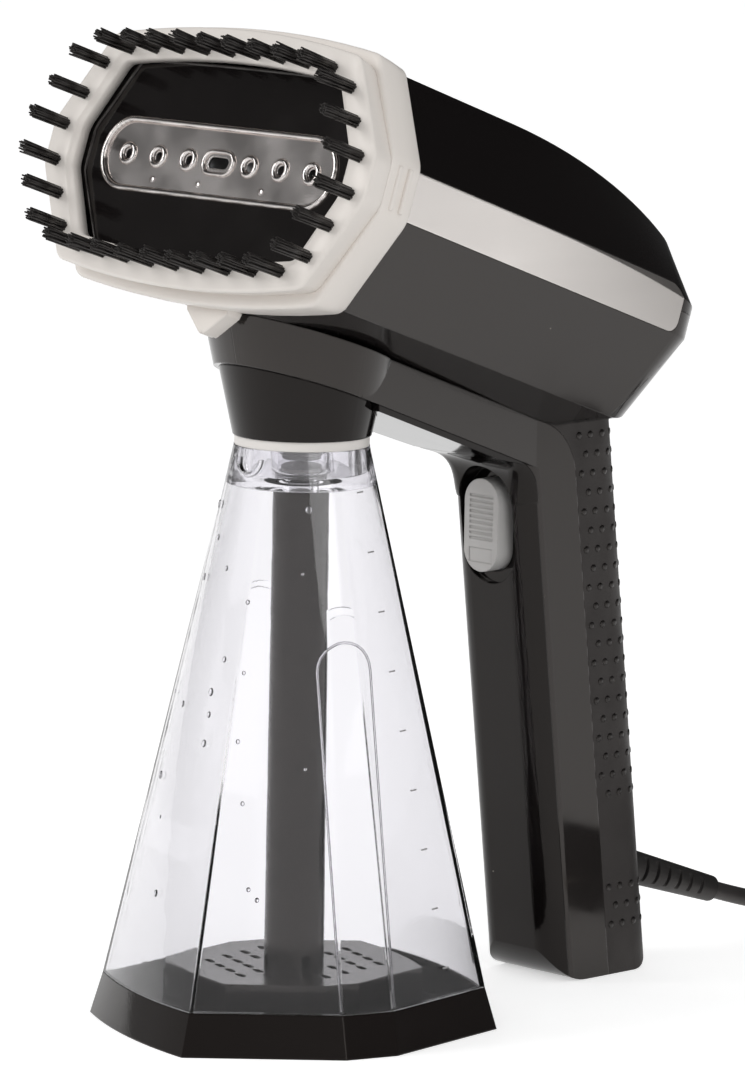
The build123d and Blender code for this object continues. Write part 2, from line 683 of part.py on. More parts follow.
def tank_parts():
    """Clear shell, dark skirt, perforated plate, suction tube and neck insert."""
    shell = tank_cone(0) - tank_cone(TANK_WALL)
    shell = shell + Rot(0, 0, -TANK_TURN) * rim_loop()
    skirt = loft([tank_face(0), Pos(0, 0, SKIRT_HEIGHT) * tank_face(SKIRT_INSET)], ruled=True)
    skirt = skirt - extrude(Pos(0, 0, SKIRT_FLOOR) * tank_face(SKIRT_INSET + SKIRT_WALL), 20, dir=(0, 0, 1))

    outline = scale(tank_face(0), by=(PLATE_SHARE, PLATE_SHARE, 1))
    inner = scale(tank_face(0), by=(PLATE_SHARE - 0.04, PLATE_SHARE - 0.04, 1))
    plate = extrude(Pos(0, 0, SKIRT_FLOOR) * outline, PLATE_TOP - SKIRT_FLOOR, dir=(0, 0, 1))
    room = PLATE_TOP - PLATE_WALL - SKIRT_FLOOR
    plate = plate - extrude(Pos(0, 0, SKIRT_FLOOR - 1) * inner, room + 1, dir=(0, 0, 1))
    slots = []
    for row in range(-3, 4):
        for column in range(-4, 5):
            x = column * 7.4 + (3.7 if row % 2 else 0)
            y = row * 7.6
            inside = abs(x) < 28 - abs(y) * 0.42 and abs(y) < 26
            if inside and math.hypot(x, y) > TUBE_RADIUS_BOTTOM + 4:
                slots.append(Pos(x, y, PLATE_TOP) * extrude(SlotOverall(5.2, 2.2), 8, both=True))
    plate = plate - slots
    plate = plate - Pos(0, 0, PLATE_TOP) * Cylinder(TUBE_BORE, 10)

    length = TANK_TOP - INSERT_DEPTH - PLATE_TOP
    suction = Pos(0, 0, PLATE_TOP + length / 2) * Cone(TUBE_RADIUS_BOTTOM, TUBE_RADIUS_TOP, length)
    suction = suction - Pos(0, 0, PLATE_TOP + length / 2) * Cylinder(TUBE_BORE, length + 1)
    for angle in (0, 90):
        suction = suction - Pos(0, 0, PLATE_TOP) * Rot(0, 0, angle) * Box(40, 3, 6)

    low = TANK_TOP - INSERT_DEPTH
    slab = Pos(0, 0, TANK_TOP - INSERT_DEPTH / 2) * Cylinder(NECK_RADIUS + 20, INSERT_DEPTH)
    insert = tank_cone(TANK_WALL) & slab
    floor = low + 3
    insert = insert - Pos(0, 0, floor + 10) * Cylinder(NECK_RADIUS - TANK_WALL - 3, 20)
    insert = insert + Pos(0, 0, floor + 3.5) * Cylinder(SOCKET_RADIUS + 2, 7)
    insert = insert - Pos(0, 0, floor + 10) * Cylinder(SOCKET_RADIUS, 20)
    insert = insert - Pos(0, 0, floor) * Cylinder(TUBE_BORE - 0.8, 10)
    valve = Pos(0, 0, floor + 0.6) * Cylinder(SOCKET_RADIUS - 1, 1.2)
    valve = valve + Pos(0, 0, floor + 1.2) * Cone(3, 1.2, 2.2, align=UP)
    parts = [shell, skirt, plate, suction, insert, valve]
    return [in_tank(part) for part in parts]


def lock_ring():
    """White ring the tank hangs on, with a sleeve that turns in the collar."""
    top = TANK_TOP + RING_HEIGHT
    ring = Pos(0, 0, TANK_TOP + RING_HEIGHT / 2) * Cylinder(NECK_RADIUS - 0.1, RING_HEIGHT)
    ring = ring + Pos(0, 0, top + SLEEVE_LENGTH / 2) * Cylinder(COLLAR_BORE - RUN_GAP, SLEEVE_LENGTH)
    return ring - Pos(0, 0, top) * Cylinder(COLLAR_BORE - SLEEVE_WALL, 4 * SLEEVE_LENGTH)


# ---------------------------------------------------------------- neck and handle
def cone_about_axis(extra, low, high):
    """Vertical cone of the neck, grown by extra, between two levels."""
    slope = math.tan(math.radians(COLLAR_SLOPE))
    start = TANK_TOP + RING_HEIGHT
    low_radius = COLLAR_RADIUS + extra + slope * (low - start)
    high_radius = COLLAR_RADIUS + extra + slope * (high - start)
    return Pos(0, 0, (low + high) / 2) * Cone(low_radius, high_radius, high - low)


def collar():
    """Conical collar with the cup that receives the tank's ring."""
    start = TANK_TOP + RING_HEIGHT
    cup_top = start + COLLAR_CUP
    body = cone_about_axis(0, start, start + 40) & below(ARM_BOTTOM)
    body = body - Pos(0, 0, cup_top + 14) * Cone(COLLAR_BORE - 2, COLLAR_BORE + 4, 28)
    body = body + Pos(0, 0, start + COLLAR_CUP / 2) * Cylinder(COLLAR_BORE + 2, COLLAR_CUP)
    bore_depth = COLLAR_CUP - COLLAR_WEB
    body = body - Pos(0, 0, start + bore_depth / 2) * Cylinder(COLLAR_BORE, bore_depth)
    return body - Pos(0, 0, cup_top) * Cylinder(SPIGOT_RADIUS, 20)


def inlet_parts():
    """Spigot that dips into the tank's neck, its seal and the hose up to the pump."""
    flange_low = TANK_TOP + RING_HEIGHT + COLLAR_CUP
    flange_top = flange_low + SPIGOT_FLANGE
    spigot = Pos(0, 0, (SPIGOT_LOW + flange_top) / 2) * Cylinder(SPIGOT_RADIUS, flange_top - SPIGOT_LOW)
    spigot = spigot + Pos(0, 0, flange_low) * Cylinder(SPIGOT_FLANGE_RADIUS, SPIGOT_FLANGE, align=UP)
    spigot = spigot + Pos(0, 0, flange_top + NIPPLE_LENGTH / 2) * Cylinder(HOSE_BORE, NIPPLE_LENGTH)
    spigot = spigot - Pos(0, 0, flange_top) * Cylinder(NIPPLE_BORE, 80)
    seal = Pos(0, 0, SPIGOT_LOW + 2) * Torus(SPIGOT_RADIUS + 0.1, SEAL_RADIUS)
    spigot = spigot - seal
    turn = head_world(-PUMP_PORT_X, PUMP_HEIGHT, PUMP_START - HOSE_RUN_IN)
    port = head_world(-PUMP_PORT_X, PUMP_HEIGHT, PUMP_START)
    rise = (0, 0, flange_top + HOSE_RISE)
    hose = tube([(0, 0, flange_top), rise, turn, port], HOSE_RADIUS, [HOSE_BEND, HOSE_BEND], HOSE_BORE)
    return spigot, seal, hose


def arm_bosses(side):
    """Screw bosses inside the arm, tied to the wall on one side."""
    bosses = []
    middle = ARM_TOP - ARM_BOSS_LENGTH / 2
    for depth in ARM_SCREW_DEPTHS:
        spot = Pos(side * ARM_SCREW_X, middle, -depth)
        boss = spot * Rot(90, 0, 0) * Cylinder(ARM_BOSS_RADIUS, ARM_BOSS_LENGTH)
        boss = boss + spot * Pos(side * 6, 0, 0) * Box(12, ARM_BOSS_LENGTH, 2)
        bosses.append(in_head(boss) & arm_block(0))
    return bosses


def arm_half_width(y):
    """Half width of the arm, which narrows from the neck to the handle."""
    reach = leg_y(COVER_DEPTH, ARM_WAIST_Z)
    return ARM_HALF_WIDTH_FRONT + (HANDLE_HALF_WIDTH - ARM_HALF_WIDTH_FRONT) * y / reach


def arm_block(inset):
    """Round head over the collar running back into the handle."""
    start = TANK_TOP + RING_HEIGHT
    cone = cone_about_axis(ARM_STEP - inset, start, start + 60)
    front = ARM_HALF_WIDTH_FRONT - inset
    rear = HANDLE_HALF_WIDTH - inset
    reach = leg_y(COVER_DEPTH, ARM_WAIST_Z)
    corners = [(-front, 0), (front, 0), (rear, reach), (rear, reach + 40)]
    corners += [(-rear, reach + 40), (-rear, reach)]
    plan = Pos(0, 0, 120) * make_face(Polyline(*corners, close=True))
    beam = extrude(plan, 140, dir=(0, 0, 1))
    return cone + beam


def leg_block(inset, bottom=0.0):
    """Leaning handle of constant section with rounded foot corners."""
    width = 2 * (HANDLE_HALF_WIDTH - inset)
    front = HANDLE_FRONT_Y + inset
    rear = HANDLE_FRONT_Y + HANDLE_DEPTH - inset
    half = width / 2
    r1 = HANDLE_FRONT_R - inset
    r2 = HANDLE_REAR_R - inset
    face = rounded([(-half, front, r1), (half, front, r1), (half, rear, r2), (-half, rear, r2)])
    lean = Vector(0, -LEAN, 1).normalized()
    rise = 230.0
    shift = Pos(0, LEAN * 10, -10)
    prism = extrude(shift * face, (rise + 10) / lean.Z, dir=lean)
    low = bottom
    high = rise
    foot = side_prism([
        (leg_y(inset - 0.5, low), low, FOOT_FRONT_R - inset),
        (leg_y(HANDLE_DEPTH - inset + 0.5, low), low, FOOT_REAR_R - inset),
        (leg_y(HANDLE_DEPTH - inset + 0.5, high), high, 0),
        (leg_y(inset - 0.5, high), high, 0),
    ])
    return prism & foot


def meet(offset, height):
    """Where a leaning handle line crosses a plane parallel to the barrel."""
    y0, z0 = head_point(0, height)
    slope = math.tan(math.radians(HEAD_TILT))
    z = (z0 + slope * (y0 - HANDLE_FRONT_Y - offset)) / (1 - slope * LEAN)
    return (leg_y(offset, z), z)


def bend_start():
    """(y, z) on the arm's underside where the bend into the handle begins."""
    corner = Vector(*meet(0, ARCH_BOTTOM))
    tilt = math.radians(HEAD_TILT)
    back = corner - Vector(math.cos(tilt), -math.sin(tilt)) * ARCH_RUN
    return (back.X, back.Y)


def arch_bend():
    """Bend from the arm's underside into the handle, its edges rounding off on the way down."""
    end = meet(0, ARCH_BOTTOM)[1] - ARCH_RUN
    radius = INNER_BEND_R - 3
    points = [(0, y, z) for y, z in (bend_start(), meet(0, ARCH_BOTTOM), (leg_y(0, end), end))]
    path = FilletPolyline(*points, radius=radius)
    steps = 6
    sections = []
    for i in range(steps + 1):
        share = i / steps
        spot = path @ share
        edge = ARCH_EDGE_R + (HANDLE_FRONT_R - ARCH_EDGE_R) * share
        half = max(HANDLE_HALF_WIDTH, arm_half_width(spot.Y))
        plane = Plane(origin=spot, x_dir=(1, 0, 0), z_dir=path % share)
        deep = 11.0
        face = rounded([(-half, 0, edge), (half, 0, edge), (half, -deep, 0), (-half, -deep, 0)])
        sections.append(plane * face)
    return loft(sections)


def trigger_slot(margin, y_from, y_to):
    """Slot-shaped prism around the trigger, grown by the margin."""
    face = racetrack(TRIGGER_WIDTH + 2 * margin, TRIGGER_HEIGHT + 2 * margin)
    plane = Plane(origin=(0, y_from, TRIGGER_Z), x_dir=(1, 0, 0), z_dir=(0, -1, 0))
    return extrude(plane * face, y_to - y_from, dir=(0, 1, 0))


def barrel_block_in_place():
    """The barrel's outside, where it stands over the handle."""
    return in_head(barrel_block(0))


def handle_parts():
    """Two side panels, the front cover with the arch underside, and the rear grip."""
    panel_rear = COVER_DEPTH + PANEL_DEPTH
    low = -20.0
    wall = SHELL_WALL
    top = below(ARM_TOP)
    arm = arm_block(0) & top & head_slab(ARM_BOTTOM, ARM_TOP)
    leg = leg_block(0) & top
    leg_hollow = leg_block(wall, bottom=wall) & below(ARM_TOP + 20)
    body = (arm + leg) - leg_hollow - arm_block(wall)
    seven = side_prism([
        (*head_point(-40, ARM_TOP), 0),
        (*meet(panel_rear, ARM_TOP), OUTER_BEND_R),
        (leg_y(panel_rear, low), low, 0),
        (leg_y(COVER_DEPTH, low), low, 0),
        (*meet(COVER_DEPTH, ARM_BOTTOM), INNER_BEND_R),
        (*head_point(-40, ARM_BOTTOM), 0),
    ])
    panels = []
    for side in (1, -1):
        half = Pos(side * BIG / 2, 0, BIG / 2) * Box(BIG, BIG, 2 * BIG)
        panel = (body & seven & half) + arm_bosses(side)
        for across, depth in arm_screw_places():
            hole = Pos(across, ARM_TOP, -depth) * Rot(90, 0, 0) * Cylinder(SCREW_RADIUS, 14)
            panel = panel - in_head(hole)
        panels.append(panel)

    front_zone = side_prism([
        (*head_point(-40, ARM_BOTTOM), 0),
        (*meet(COVER_DEPTH, ARM_BOTTOM), INNER_BEND_R),
        (leg_y(COVER_DEPTH, low), low, 0),
        (leg_y(-60, low), low, 0),
        (leg_y(-60, low) - 60, 230, 0),
    ])
    arch_zone = side_prism([
        (*head_point(-40, ARM_BOTTOM), 0),
        (*meet(COVER_DEPTH, ARM_BOTTOM), 0),
        (*bend_start(), 0),
        (*head_point(-40, ARCH_BOTTOM), 0),
    ])
    start = TANK_TOP + RING_HEIGHT
    arch = arm_block(0) & arch_zone & front_zone
    arch = arch - cone_about_axis(0.2, start - 10, start + 60)
    arch = arch - Pos(0, ARCH_START - BIG / 2, start) * Box(BIG, BIG, BIG)
    cover = (leg_block(0) & front_zone) + arch + (arch_bend() & front_zone) - leg_block(wall, bottom=wall)
    boss = trigger_slot(DISH_MARGIN + 1.4, TRIGGER_FACE_Y - 15, DISH_Y + wall) & leg_block(0)
    cover = cover + boss
    cover = cover - trigger_slot(DISH_MARGIN, TRIGGER_FACE_Y - 25, DISH_Y)
    cover = cover - trigger_slot(TRIGGER_GAP, TRIGGER_FACE_Y - 25, DISH_Y + 10)

    rear_zone = side_prism([
        (*meet(panel_rear, ARM_TOP), OUTER_BEND_R),
        (leg_y(panel_rear, low), low, 0),
        (leg_y(HANDLE_DEPTH + 20, low), low, 0),
        (*head_point(SPINE_DEPTH + SPINE_DROP / 2, SPINE_TOP - SPINE_DROP), 0),
        (*head_point(SPINE_DEPTH, SPINE_TOP), 0),
        (*head_point(DOME_TOP_START, SPINE_TOP), 0),
        (*head_point(DOME_TOP_START, ARM_TOP), 0),
    ])
    grip = (leg_block(0) & rear_zone) - (leg_block(wall, bottom=wall) & top)
    grip = largest(grip - barrel_block_in_place())
    return panels[0], panels[1], cover, grip - boot_neck()


def trigger():
    """Sprung button: ribbed face, flange inside the cover and a post to the switch."""
    stop_y = DISH_Y + SHELL_WALL
    back = stop_y + TRIGGER_FLANGE
    floor_y = TRIGGER_FACE_Y + 2.4
    button = trigger_slot(0, TRIGGER_FACE_Y, back) + trigger_slot(TRIGGER_FLANGE, stop_y, back)
    button = button - trigger_slot(-2, floor_y, back + 1)
    for i in range(TRIGGER_RIBS):
        z = TRIGGER_Z + 9 - i * TRIGGER_RIB_PITCH
        button = button - Pos(0, TRIGGER_FACE_Y, z) * Box(TRIGGER_WIDTH - 4.4, 0.8, TRIGGER_RIB_GROOVE)
    button = button - Pos(0, TRIGGER_FACE_Y, TRIGGER_Z - 9.4) * Box(TRIGGER_WIDTH - 4.4, 0.6, 4.4)
    reach = LEVER_Y - POST_GAP - floor_y
    return button + Pos(0, floor_y + reach / 2, POST_Z) * Rot(90, 0, 0) * Cylinder(POST_RADIUS, reach)


# ---------------------------------------------------------------- steam chamber and pump
def chamber_parts():
    """Chamber, gasket, cover, heating element, thermostat, fuse and screws."""
    front = FACE_DEPTH + FACE_THICKNESS
    back = front + CHAMBER_DEPTH
    cover_front = back + GASKET_THICKNESS
    cover_back = cover_front + CHAMBER_COVER_THICKNESS
    outline = RectangleRounded(CHAMBER_WIDTH, CHAMBER_HEIGHT, 6)
    pocket = RectangleRounded(CHAMBER_WIDTH - 2 * CHAMBER_WALL, CHAMBER_HEIGHT - 2 * CHAMBER_WALL, 4)
    manifold = SlotOverall(INSERT_LENGTH - 10, INSERT_HEIGHT - 8.5)
    chamber = head_prism(outline, front, back)
    chamber = chamber - head_prism(manifold, front - 1, front + 2)
    chamber = chamber - head_prism(pocket, front + 2 + CHAMBER_WEB, back + 1)
    for index in (-3, -2, -1, 1, 2, 3):
        chamber = chamber - Pos(index * HOLE_PITCH, 0, -front) * Cylinder(HOLE_RADIUS, 20)
    gasket = head_prism(outline, back, cover_front) - head_prism(pocket, back - 1, cover_front + 1)
    cover = head_prism(outline, cover_front, cover_back)

    centre = -cover_back - 0.5
    tail = centre - ELEMENT_TAIL
    end = ELEMENT_HALF_LENGTH
    pitch = ELEMENT_HALF_PITCH
    route = [(-end, pitch, tail), (-end, pitch, centre), (end, pitch, centre)]
    route += [(end, -pitch, centre), (-end, -pitch, centre), (-end, -pitch, tail)]
    element = tube(route, ELEMENT_RADIUS, [5, pitch - 0.1, pitch - 0.1, 5])
    cover = cover - element
    nipple = Pos(CHAMBER_PORT_X, 0, -cover_back - NIPPLE_LENGTH / 2) * Cylinder(HOSE_BORE, NIPPLE_LENGTH)
    cover = cover + nipple - Pos(CHAMBER_PORT_X, 0, -cover_back) * Cylinder(NIPPLE_BORE, 40)

    base = Pos(0, 0, -cover_back)
    thermostat = base * Cylinder(THERMOSTAT_RADIUS, THERMOSTAT_HEIGHT - 3, align=DOWN)
    thermostat = thermostat + base * Cylinder(THERMOSTAT_RADIUS - 2, THERMOSTAT_HEIGHT, align=DOWN)
    fuse_spot = Pos(0, CHAMBER_HEIGHT / 2 - FUSE_SIZE / 2 - 0.6, 0)
    fuse = base * fuse_spot * Box(FUSE_LENGTH, FUSE_SIZE, FUSE_SIZE, align=DOWN)

    screws = []
    inset = CHAMBER_WALL / 2
    for x in (-1, 1):
        for y in (-1, 1):
            spot = base * Pos(x * (CHAMBER_WIDTH / 2 - inset), y * (CHAMBER_HEIGHT / 2 - inset), 0)
            head = spot * Cylinder(SCREW_HEAD_RADIUS, SCREW_HEAD_HEIGHT, align=DOWN)
            shaft = spot * Cylinder(SCREW_RADIUS, 10, align=UP)
            screws.append(head + shaft)
            cover = cover - shaft
            gasket = gasket - shaft
            chamber = chamber - shaft
    parts = [chamber, gasket, cover, element, thermostat, fuse, Compound(children=screws)]
    return [in_head(part) for part in parts]


def pump_parts():
    """Pump, its saddles and the pressure hose to the chamber."""
    block_end = PUMP_START + PUMP_BLOCK
    spot = Pos(0, PUMP_HEIGHT, 0)
    block = spot * head_prism(RectangleRounded(30, 24, 4), PUMP_START, block_end)
    motor = spot * head_prism(Circle(PUMP_RADIUS), block_end, block_end + PUMP_MOTOR_LENGTH)
    pump = block + motor
    for x in (-PUMP_PORT_X, PUMP_PORT_X):
        port = Pos(x, PUMP_HEIGHT, -PUMP_START + NIPPLE_LENGTH / 2)
        pump = pump + port * Cylinder(HOSE_BORE, NIPPLE_LENGTH)
        pump = pump - port * Cylinder(NIPPLE_BORE, NIPPLE_LENGTH)
    floor = -BARREL_HALF_HEIGHT - KEEL_DEPTH + SHELL_WALL
    mounts = []
    for depth in MOUNT_DEPTHS:
        height = PUMP_HEIGHT - 4 - floor
        block = Pos(0, floor + height / 2, -depth) * Box(24, height, MOUNT_THICKNESS)
        mounts.append(block - motor)
    cover_back = FACE_DEPTH + FACE_THICKNESS + CHAMBER_DEPTH + GASKET_THICKNESS + CHAMBER_COVER_THICKNESS
    route = [(PUMP_PORT_X, PUMP_HEIGHT, -PUMP_START), (PUMP_PORT_X, PUMP_HEIGHT, -72)]
    route += [(CHAMBER_PORT_X, 0, -50), (CHAMBER_PORT_X, 0, -cover_back)]
    hose = tube(route, HOSE_RADIUS, [14, 14], HOSE_BORE)
    screws = []
    for across, depth in arm_screw_places():
        screw_base = Pos(across, floor, -depth) * Rot(-90, 0, 0)
        head = screw_base * Cylinder(SCREW_HEAD_RADIUS, SCREW_HEAD_HEIGHT, align=UP)
        shaft = screw_base * Cylinder(SCREW_RADIUS, 9, align=DOWN)
        screws.append(head + shaft)
    parts = [pump, Compound(children=mounts), hose, Compound(children=screws)]
    return [in_head(part) for part in parts]


# ---------------------------------------------------------------- switch and wiring
def switch_parts():
    """Microswitch, its lever on a pin, the bracket, terminal block and wires."""
    height = SWITCH_HIGH - SWITCH_LOW
    middle = (SWITCH_HIGH + SWITCH_LOW) / 2
    switch_back = SWITCH_FRONT + SWITCH_DEPTH
    spot = Pos(0, SWITCH_FRONT + SWITCH_DEPTH / 2, middle)
    body = spot * Box(2 * SWITCH_HALF_WIDTH, SWITCH_DEPTH, height)
    ear_inner = LEVER_HALF_WIDTH + FIT_GAP
    ear_front = LEVER_PIVOT_Y - 2
    for side in (1, -1):
        ear = Pos(side * (ear_inner + 0.6), (ear_front + SWITCH_FRONT + 1) / 2, LEVER_PIVOT_Z)
        body = body + ear * Box(1.2, SWITCH_FRONT + 1 - ear_front, 4.4)
    axis = Pos(0, LEVER_PIVOT_Y, LEVER_PIVOT_Z) * Rot(0, 90, 0)
    pin = axis * Cylinder(PIN_RADIUS, 2 * ear_inner + 2.4)
    body = body - pin
    plate_height = LEVER_TOP - LEVER_PIVOT_Z
    lever = Pos(0, LEVER_Y + LEVER_THICKNESS / 2, LEVER_PIVOT_Z + plate_height / 2)
    lever = lever * Box(2 * LEVER_HALF_WIDTH, LEVER_THICKNESS, plate_height)
    lever = lever + axis * Cylinder(KNUCKLE_RADIUS, 2 * LEVER_HALF_WIDTH)
    lever = lever - axis * Cylinder(PIN_RADIUS + PIN_CLEARANCE, 20)
    span = 2 * (HANDLE_HALF_WIDTH - SHELL_WALL)
    bracket = Pos(0, switch_back + BRACKET_THICKNESS / 2, middle) * Box(span, BRACKET_THICKNESS, height)

    block_height = BLOCK_HIGH - BLOCK_LOW
    block_middle = (BLOCK_HIGH + BLOCK_LOW) / 2
    spot = Pos(0, BLOCK_FRONT + BLOCK_DEPTH / 2, block_middle)
    block = spot * Box(BLOCK_WIDTH, BLOCK_DEPTH, block_height)
    block_back = BLOCK_FRONT + BLOCK_DEPTH
    block = block + Pos(0, block_back + 1, block_middle) * Box(span, 2, block_height - 4)
    switch_wires = []
    head_wires = []
    tail = FACE_DEPTH + FACE_THICKNESS + CHAMBER_DEPTH + GASKET_THICKNESS + CHAMBER_COVER_THICKNESS
    tail = tail + 0.5 + ELEMENT_TAIL
    wire_y = SWITCH_FRONT + 5
    block_y = block_back - 2.5
    for side in (1, -1):
        x = side * 1.8
        route = [(x, wire_y, SWITCH_LOW), (x, wire_y, SWITCH_LOW - 14)]
        x = side * 3
        route += [(x, BLOCK_FRONT + 3, BLOCK_HIGH + 14), (x, BLOCK_FRONT + 3, BLOCK_HIGH)]
        switch_wires.append(tube(route, WIRE_RADIUS, [8, 8]))
        x = side * 8
        route = [(x, block_y, BLOCK_HIGH), (x, block_y, BLOCK_HIGH + 70)]
        depth = WIRE_HOLE_DEPTH + side * WIRE_SPREAD
        route += [head_world(side * 2, ARM_TOP - 6, depth + 2), head_world(side * 2, ARM_TOP + 6, depth)]
        x = -WIRE_ASIDE - side * WIRE_SPREAD
        route += [head_world(x, WIRE_HEIGHT, depth - 2), head_world(x, WIRE_HEIGHT, tail + 30)]
        x = -ELEMENT_HALF_LENGTH
        height = side * ELEMENT_HALF_PITCH
        route += [head_world(x, height, tail + 12), head_world(x, height, tail)]
        head_wires.append(tube(route, WIRE_RADIUS, [10, 5, 4, 7, 7, 4]))
    return body, lever, pin, bracket, block, Compound(children=switch_wires), Compound(children=head_wires)


# ---------------------------------------------------------------- mains cord
def boot_axis():
    """Plane at the boot's root with its z axis along the cord."""
    return Plane(origin=BOOT_EXIT, x_dir=(1, 0, 0), z_dir=Vector(*BOOT_END) - Vector(*BOOT_EXIT))


def boot_neck():
    """Neck of the boot through the handle's rear wall."""
    return boot_axis() * Pos(0, 0, -3) * Cylinder(BOOT_NECK_RADIUS, 12)


def boot():
    """Tapered strain relief with staggered slots and a flange inside the wall."""
    length = (Vector(*BOOT_END) - Vector(*BOOT_EXIT)).length
    axis = boot_axis()
    start = -6.0
    grow = (BOOT_RADIUS_ROOT - BOOT_RADIUS_TIP) / length
    root = BOOT_RADIUS_ROOT - start * grow
    body = Pos(0, 0, start) * Cone(root, BOOT_RADIUS_TIP, length - start, align=UP)
    for i in range(BOOT_SLOTS):
        for side in (1, -1):
            spot = Pos(side * (BOOT_RADIUS_ROOT + 0.6), 0, 11 + i * 5.6 + (0 if side > 0 else 2.8))
            body = body - spot * Box(5.4, 2 * BOOT_RADIUS_ROOT, 1.6)
    body = (axis * body) - leg_block(0)
    flange = Pos(0, 0, BOOT_FLANGE) * Cylinder(BOOT_NECK_RADIUS + 2, 2)
    neck = Pos(0, 0, (BOOT_FLANGE + 3) / 2) * Cylinder(BOOT_NECK_RADIUS, 3 - BOOT_FLANGE)
    return body + axis * (flange + neck)


def lead_parts():
    """Cord lead inside the handle with its anchor, clamp and screws."""
    direction = boot_axis().z_dir
    inner_end = Vector(*BOOT_EXIT) + direction * (BOOT_FLANGE - 1)
    start = (0, inner_end.Y, inner_end.Z)
    bend_y = BLOCK_FRONT + BLOCK_DEPTH / 2
    bend_z = inner_end.Z + (bend_y - inner_end.Y) * direction.Z / direction.Y
    lead = tube([start, (0, bend_y, bend_z), (0, bend_y, BLOCK_LOW)], CORD_RADIUS, [9])
    here = inner_end.Z + (CLAMP_Y - inner_end.Y) * direction.Z / direction.Y
    tilt = math.degrees(math.atan2(direction.Z, direction.Y))
    spot = Pos(0, CLAMP_Y, here) * Rot(tilt, 0, 0)
    span = 2 * (HANDLE_HALF_WIDTH - SHELL_WALL)
    anchor = spot * Box(span, CLAMP_DEPTH, 7, align=DOWN) - lead
    clamp = spot * Box(CLAMP_WIDTH, CLAMP_DEPTH, 6, align=UP) - lead
    screws = []
    for x in (-CLAMP_SCREW_X, CLAMP_SCREW_X):
        shaft = spot * Pos(x, 0, 6) * Cylinder(SCREW_RADIUS, 11, align=DOWN)
        head = spot * Pos(x, 0, 6) * Cylinder(SCREW_HEAD_RADIUS - 0.4, SCREW_HEAD_HEIGHT, align=UP)
        screws.append(shaft + head)
        anchor = anchor - shaft
        clamp = clamp - shaft
    return lead, anchor, clamp, Compound(children=screws)


def cord_parts():
    """Cord to the floor, the coil, the end to the plug, the tie, the plug and its pins."""
    width = 2 * CORD_RADIUS
    ring_height = COIL_LAYERS * width
    ring_low = TIE_THICKNESS
    bottom_z = ring_low + CORD_RADIUS + COIL_SINK
    top_z = ring_low + ring_height - CORD_RADIUS - COIL_SINK
    outer = COIL_MEAN_RADIUS + (COIL_COLUMNS - 1) * CORD_RADIUS - COIL_SINK
    first = Vector(*BOOT_END) + boot_axis().z_dir * 18.4
    route = [BOOT_END, (0, first.Y, first.Z), (0, 226, 5.8), (0, COIL_Y, bottom_z)]
    exit_y = COIL_Y + outer
    turn_x = COIL_X + PLUG_ASIDE
    ending = [(COIL_X - 2, exit_y, top_z), (COIL_X + 20, exit_y, top_z - 0.7)]
    turn_y = exit_y - PLUG_TURN
    ending += [(turn_x - PLUG_TURN, exit_y, (top_z + PLUG_AXIS_Z) / 2), (turn_x, turn_y, PLUG_AXIS_Z)]
    ending += [(turn_x, turn_y - PLUG_RUN, PLUG_AXIS_Z)]
    for name, points in (("cord", route), ("cord end", ending)):
        print(name, "radii", [round(radius) for radius in corner_radii(points)])
    cord = tube(route, CORD_RADIUS, corner_radii(route))
    cord_end = tube(ending, CORD_RADIUS, corner_radii(ending))

    def coil_ring(grow):
        across = COIL_COLUMNS * width + 2 * grow
        high = ring_height + 2 * grow
        face = Pos(COIL_MEAN_RADIUS, 0) * RectangleRounded(across, high, CORD_RADIUS + grow)
        ring = revolve(Plane.XZ * face, Axis.Z)
        return Pos(COIL_X, COIL_Y, ring_low + ring_height / 2) * ring

    coil = coil_ring(0)
    strap = Pos(COIL_X + COIL_MEAN_RADIUS, COIL_Y, ring_height / 2) * Box(40, TIE_WIDTH, 80)
    tie = (coil_ring(TIE_THICKNESS) - coil) & strap
    before = Vector(*ending[-2])
    last = Vector(*ending[-1])
    heading = Vector(last.X - before.X, last.Y - before.Y, 0).normalized()
    frame = Plane(origin=last, x_dir=(-heading.Y, heading.X, 0), z_dir=heading)
    body = Cone(BOOT_RADIUS_TIP, BOOT_RADIUS_ROOT, PLUG_RELIEF, align=UP)
    grip_end = PLUG_RELIEF + PLUG_GRIP
    grip_small = Pos(0, 0, PLUG_RELIEF) * RectangleRounded(15, 13, 5)
    grip_large = Pos(0, 0, grip_end) * RectangleRounded(27, 22, 8)
    body = body + loft([grip_small, grip_large])
    base_face = Circle(PLUG_RADIUS) & Rectangle(2 * PLUG_RADIUS, 2 * PLUG_AXIS_Z)
    body = body + Pos(0, 0, grip_end) * extrude(base_face, PLUG_BASE)
    pins = []
    for side in (1, -1):
        spot = Pos(side * PLUG_PIN_SPACING / 2, 0, grip_end + PLUG_BASE)
        root = spot * Cylinder(PLUG_PIN_ROOT_RADIUS, PLUG_PIN_ROOT, align=DOWN)
        pin = spot * Cylinder(PLUG_PIN_RADIUS, PLUG_PIN_LENGTH, align=UP) + root
        pins.append(pin)
        body = body - pin
    return cord, coil, cord_end, tie, frame * body, frame * Compound(children=pins)


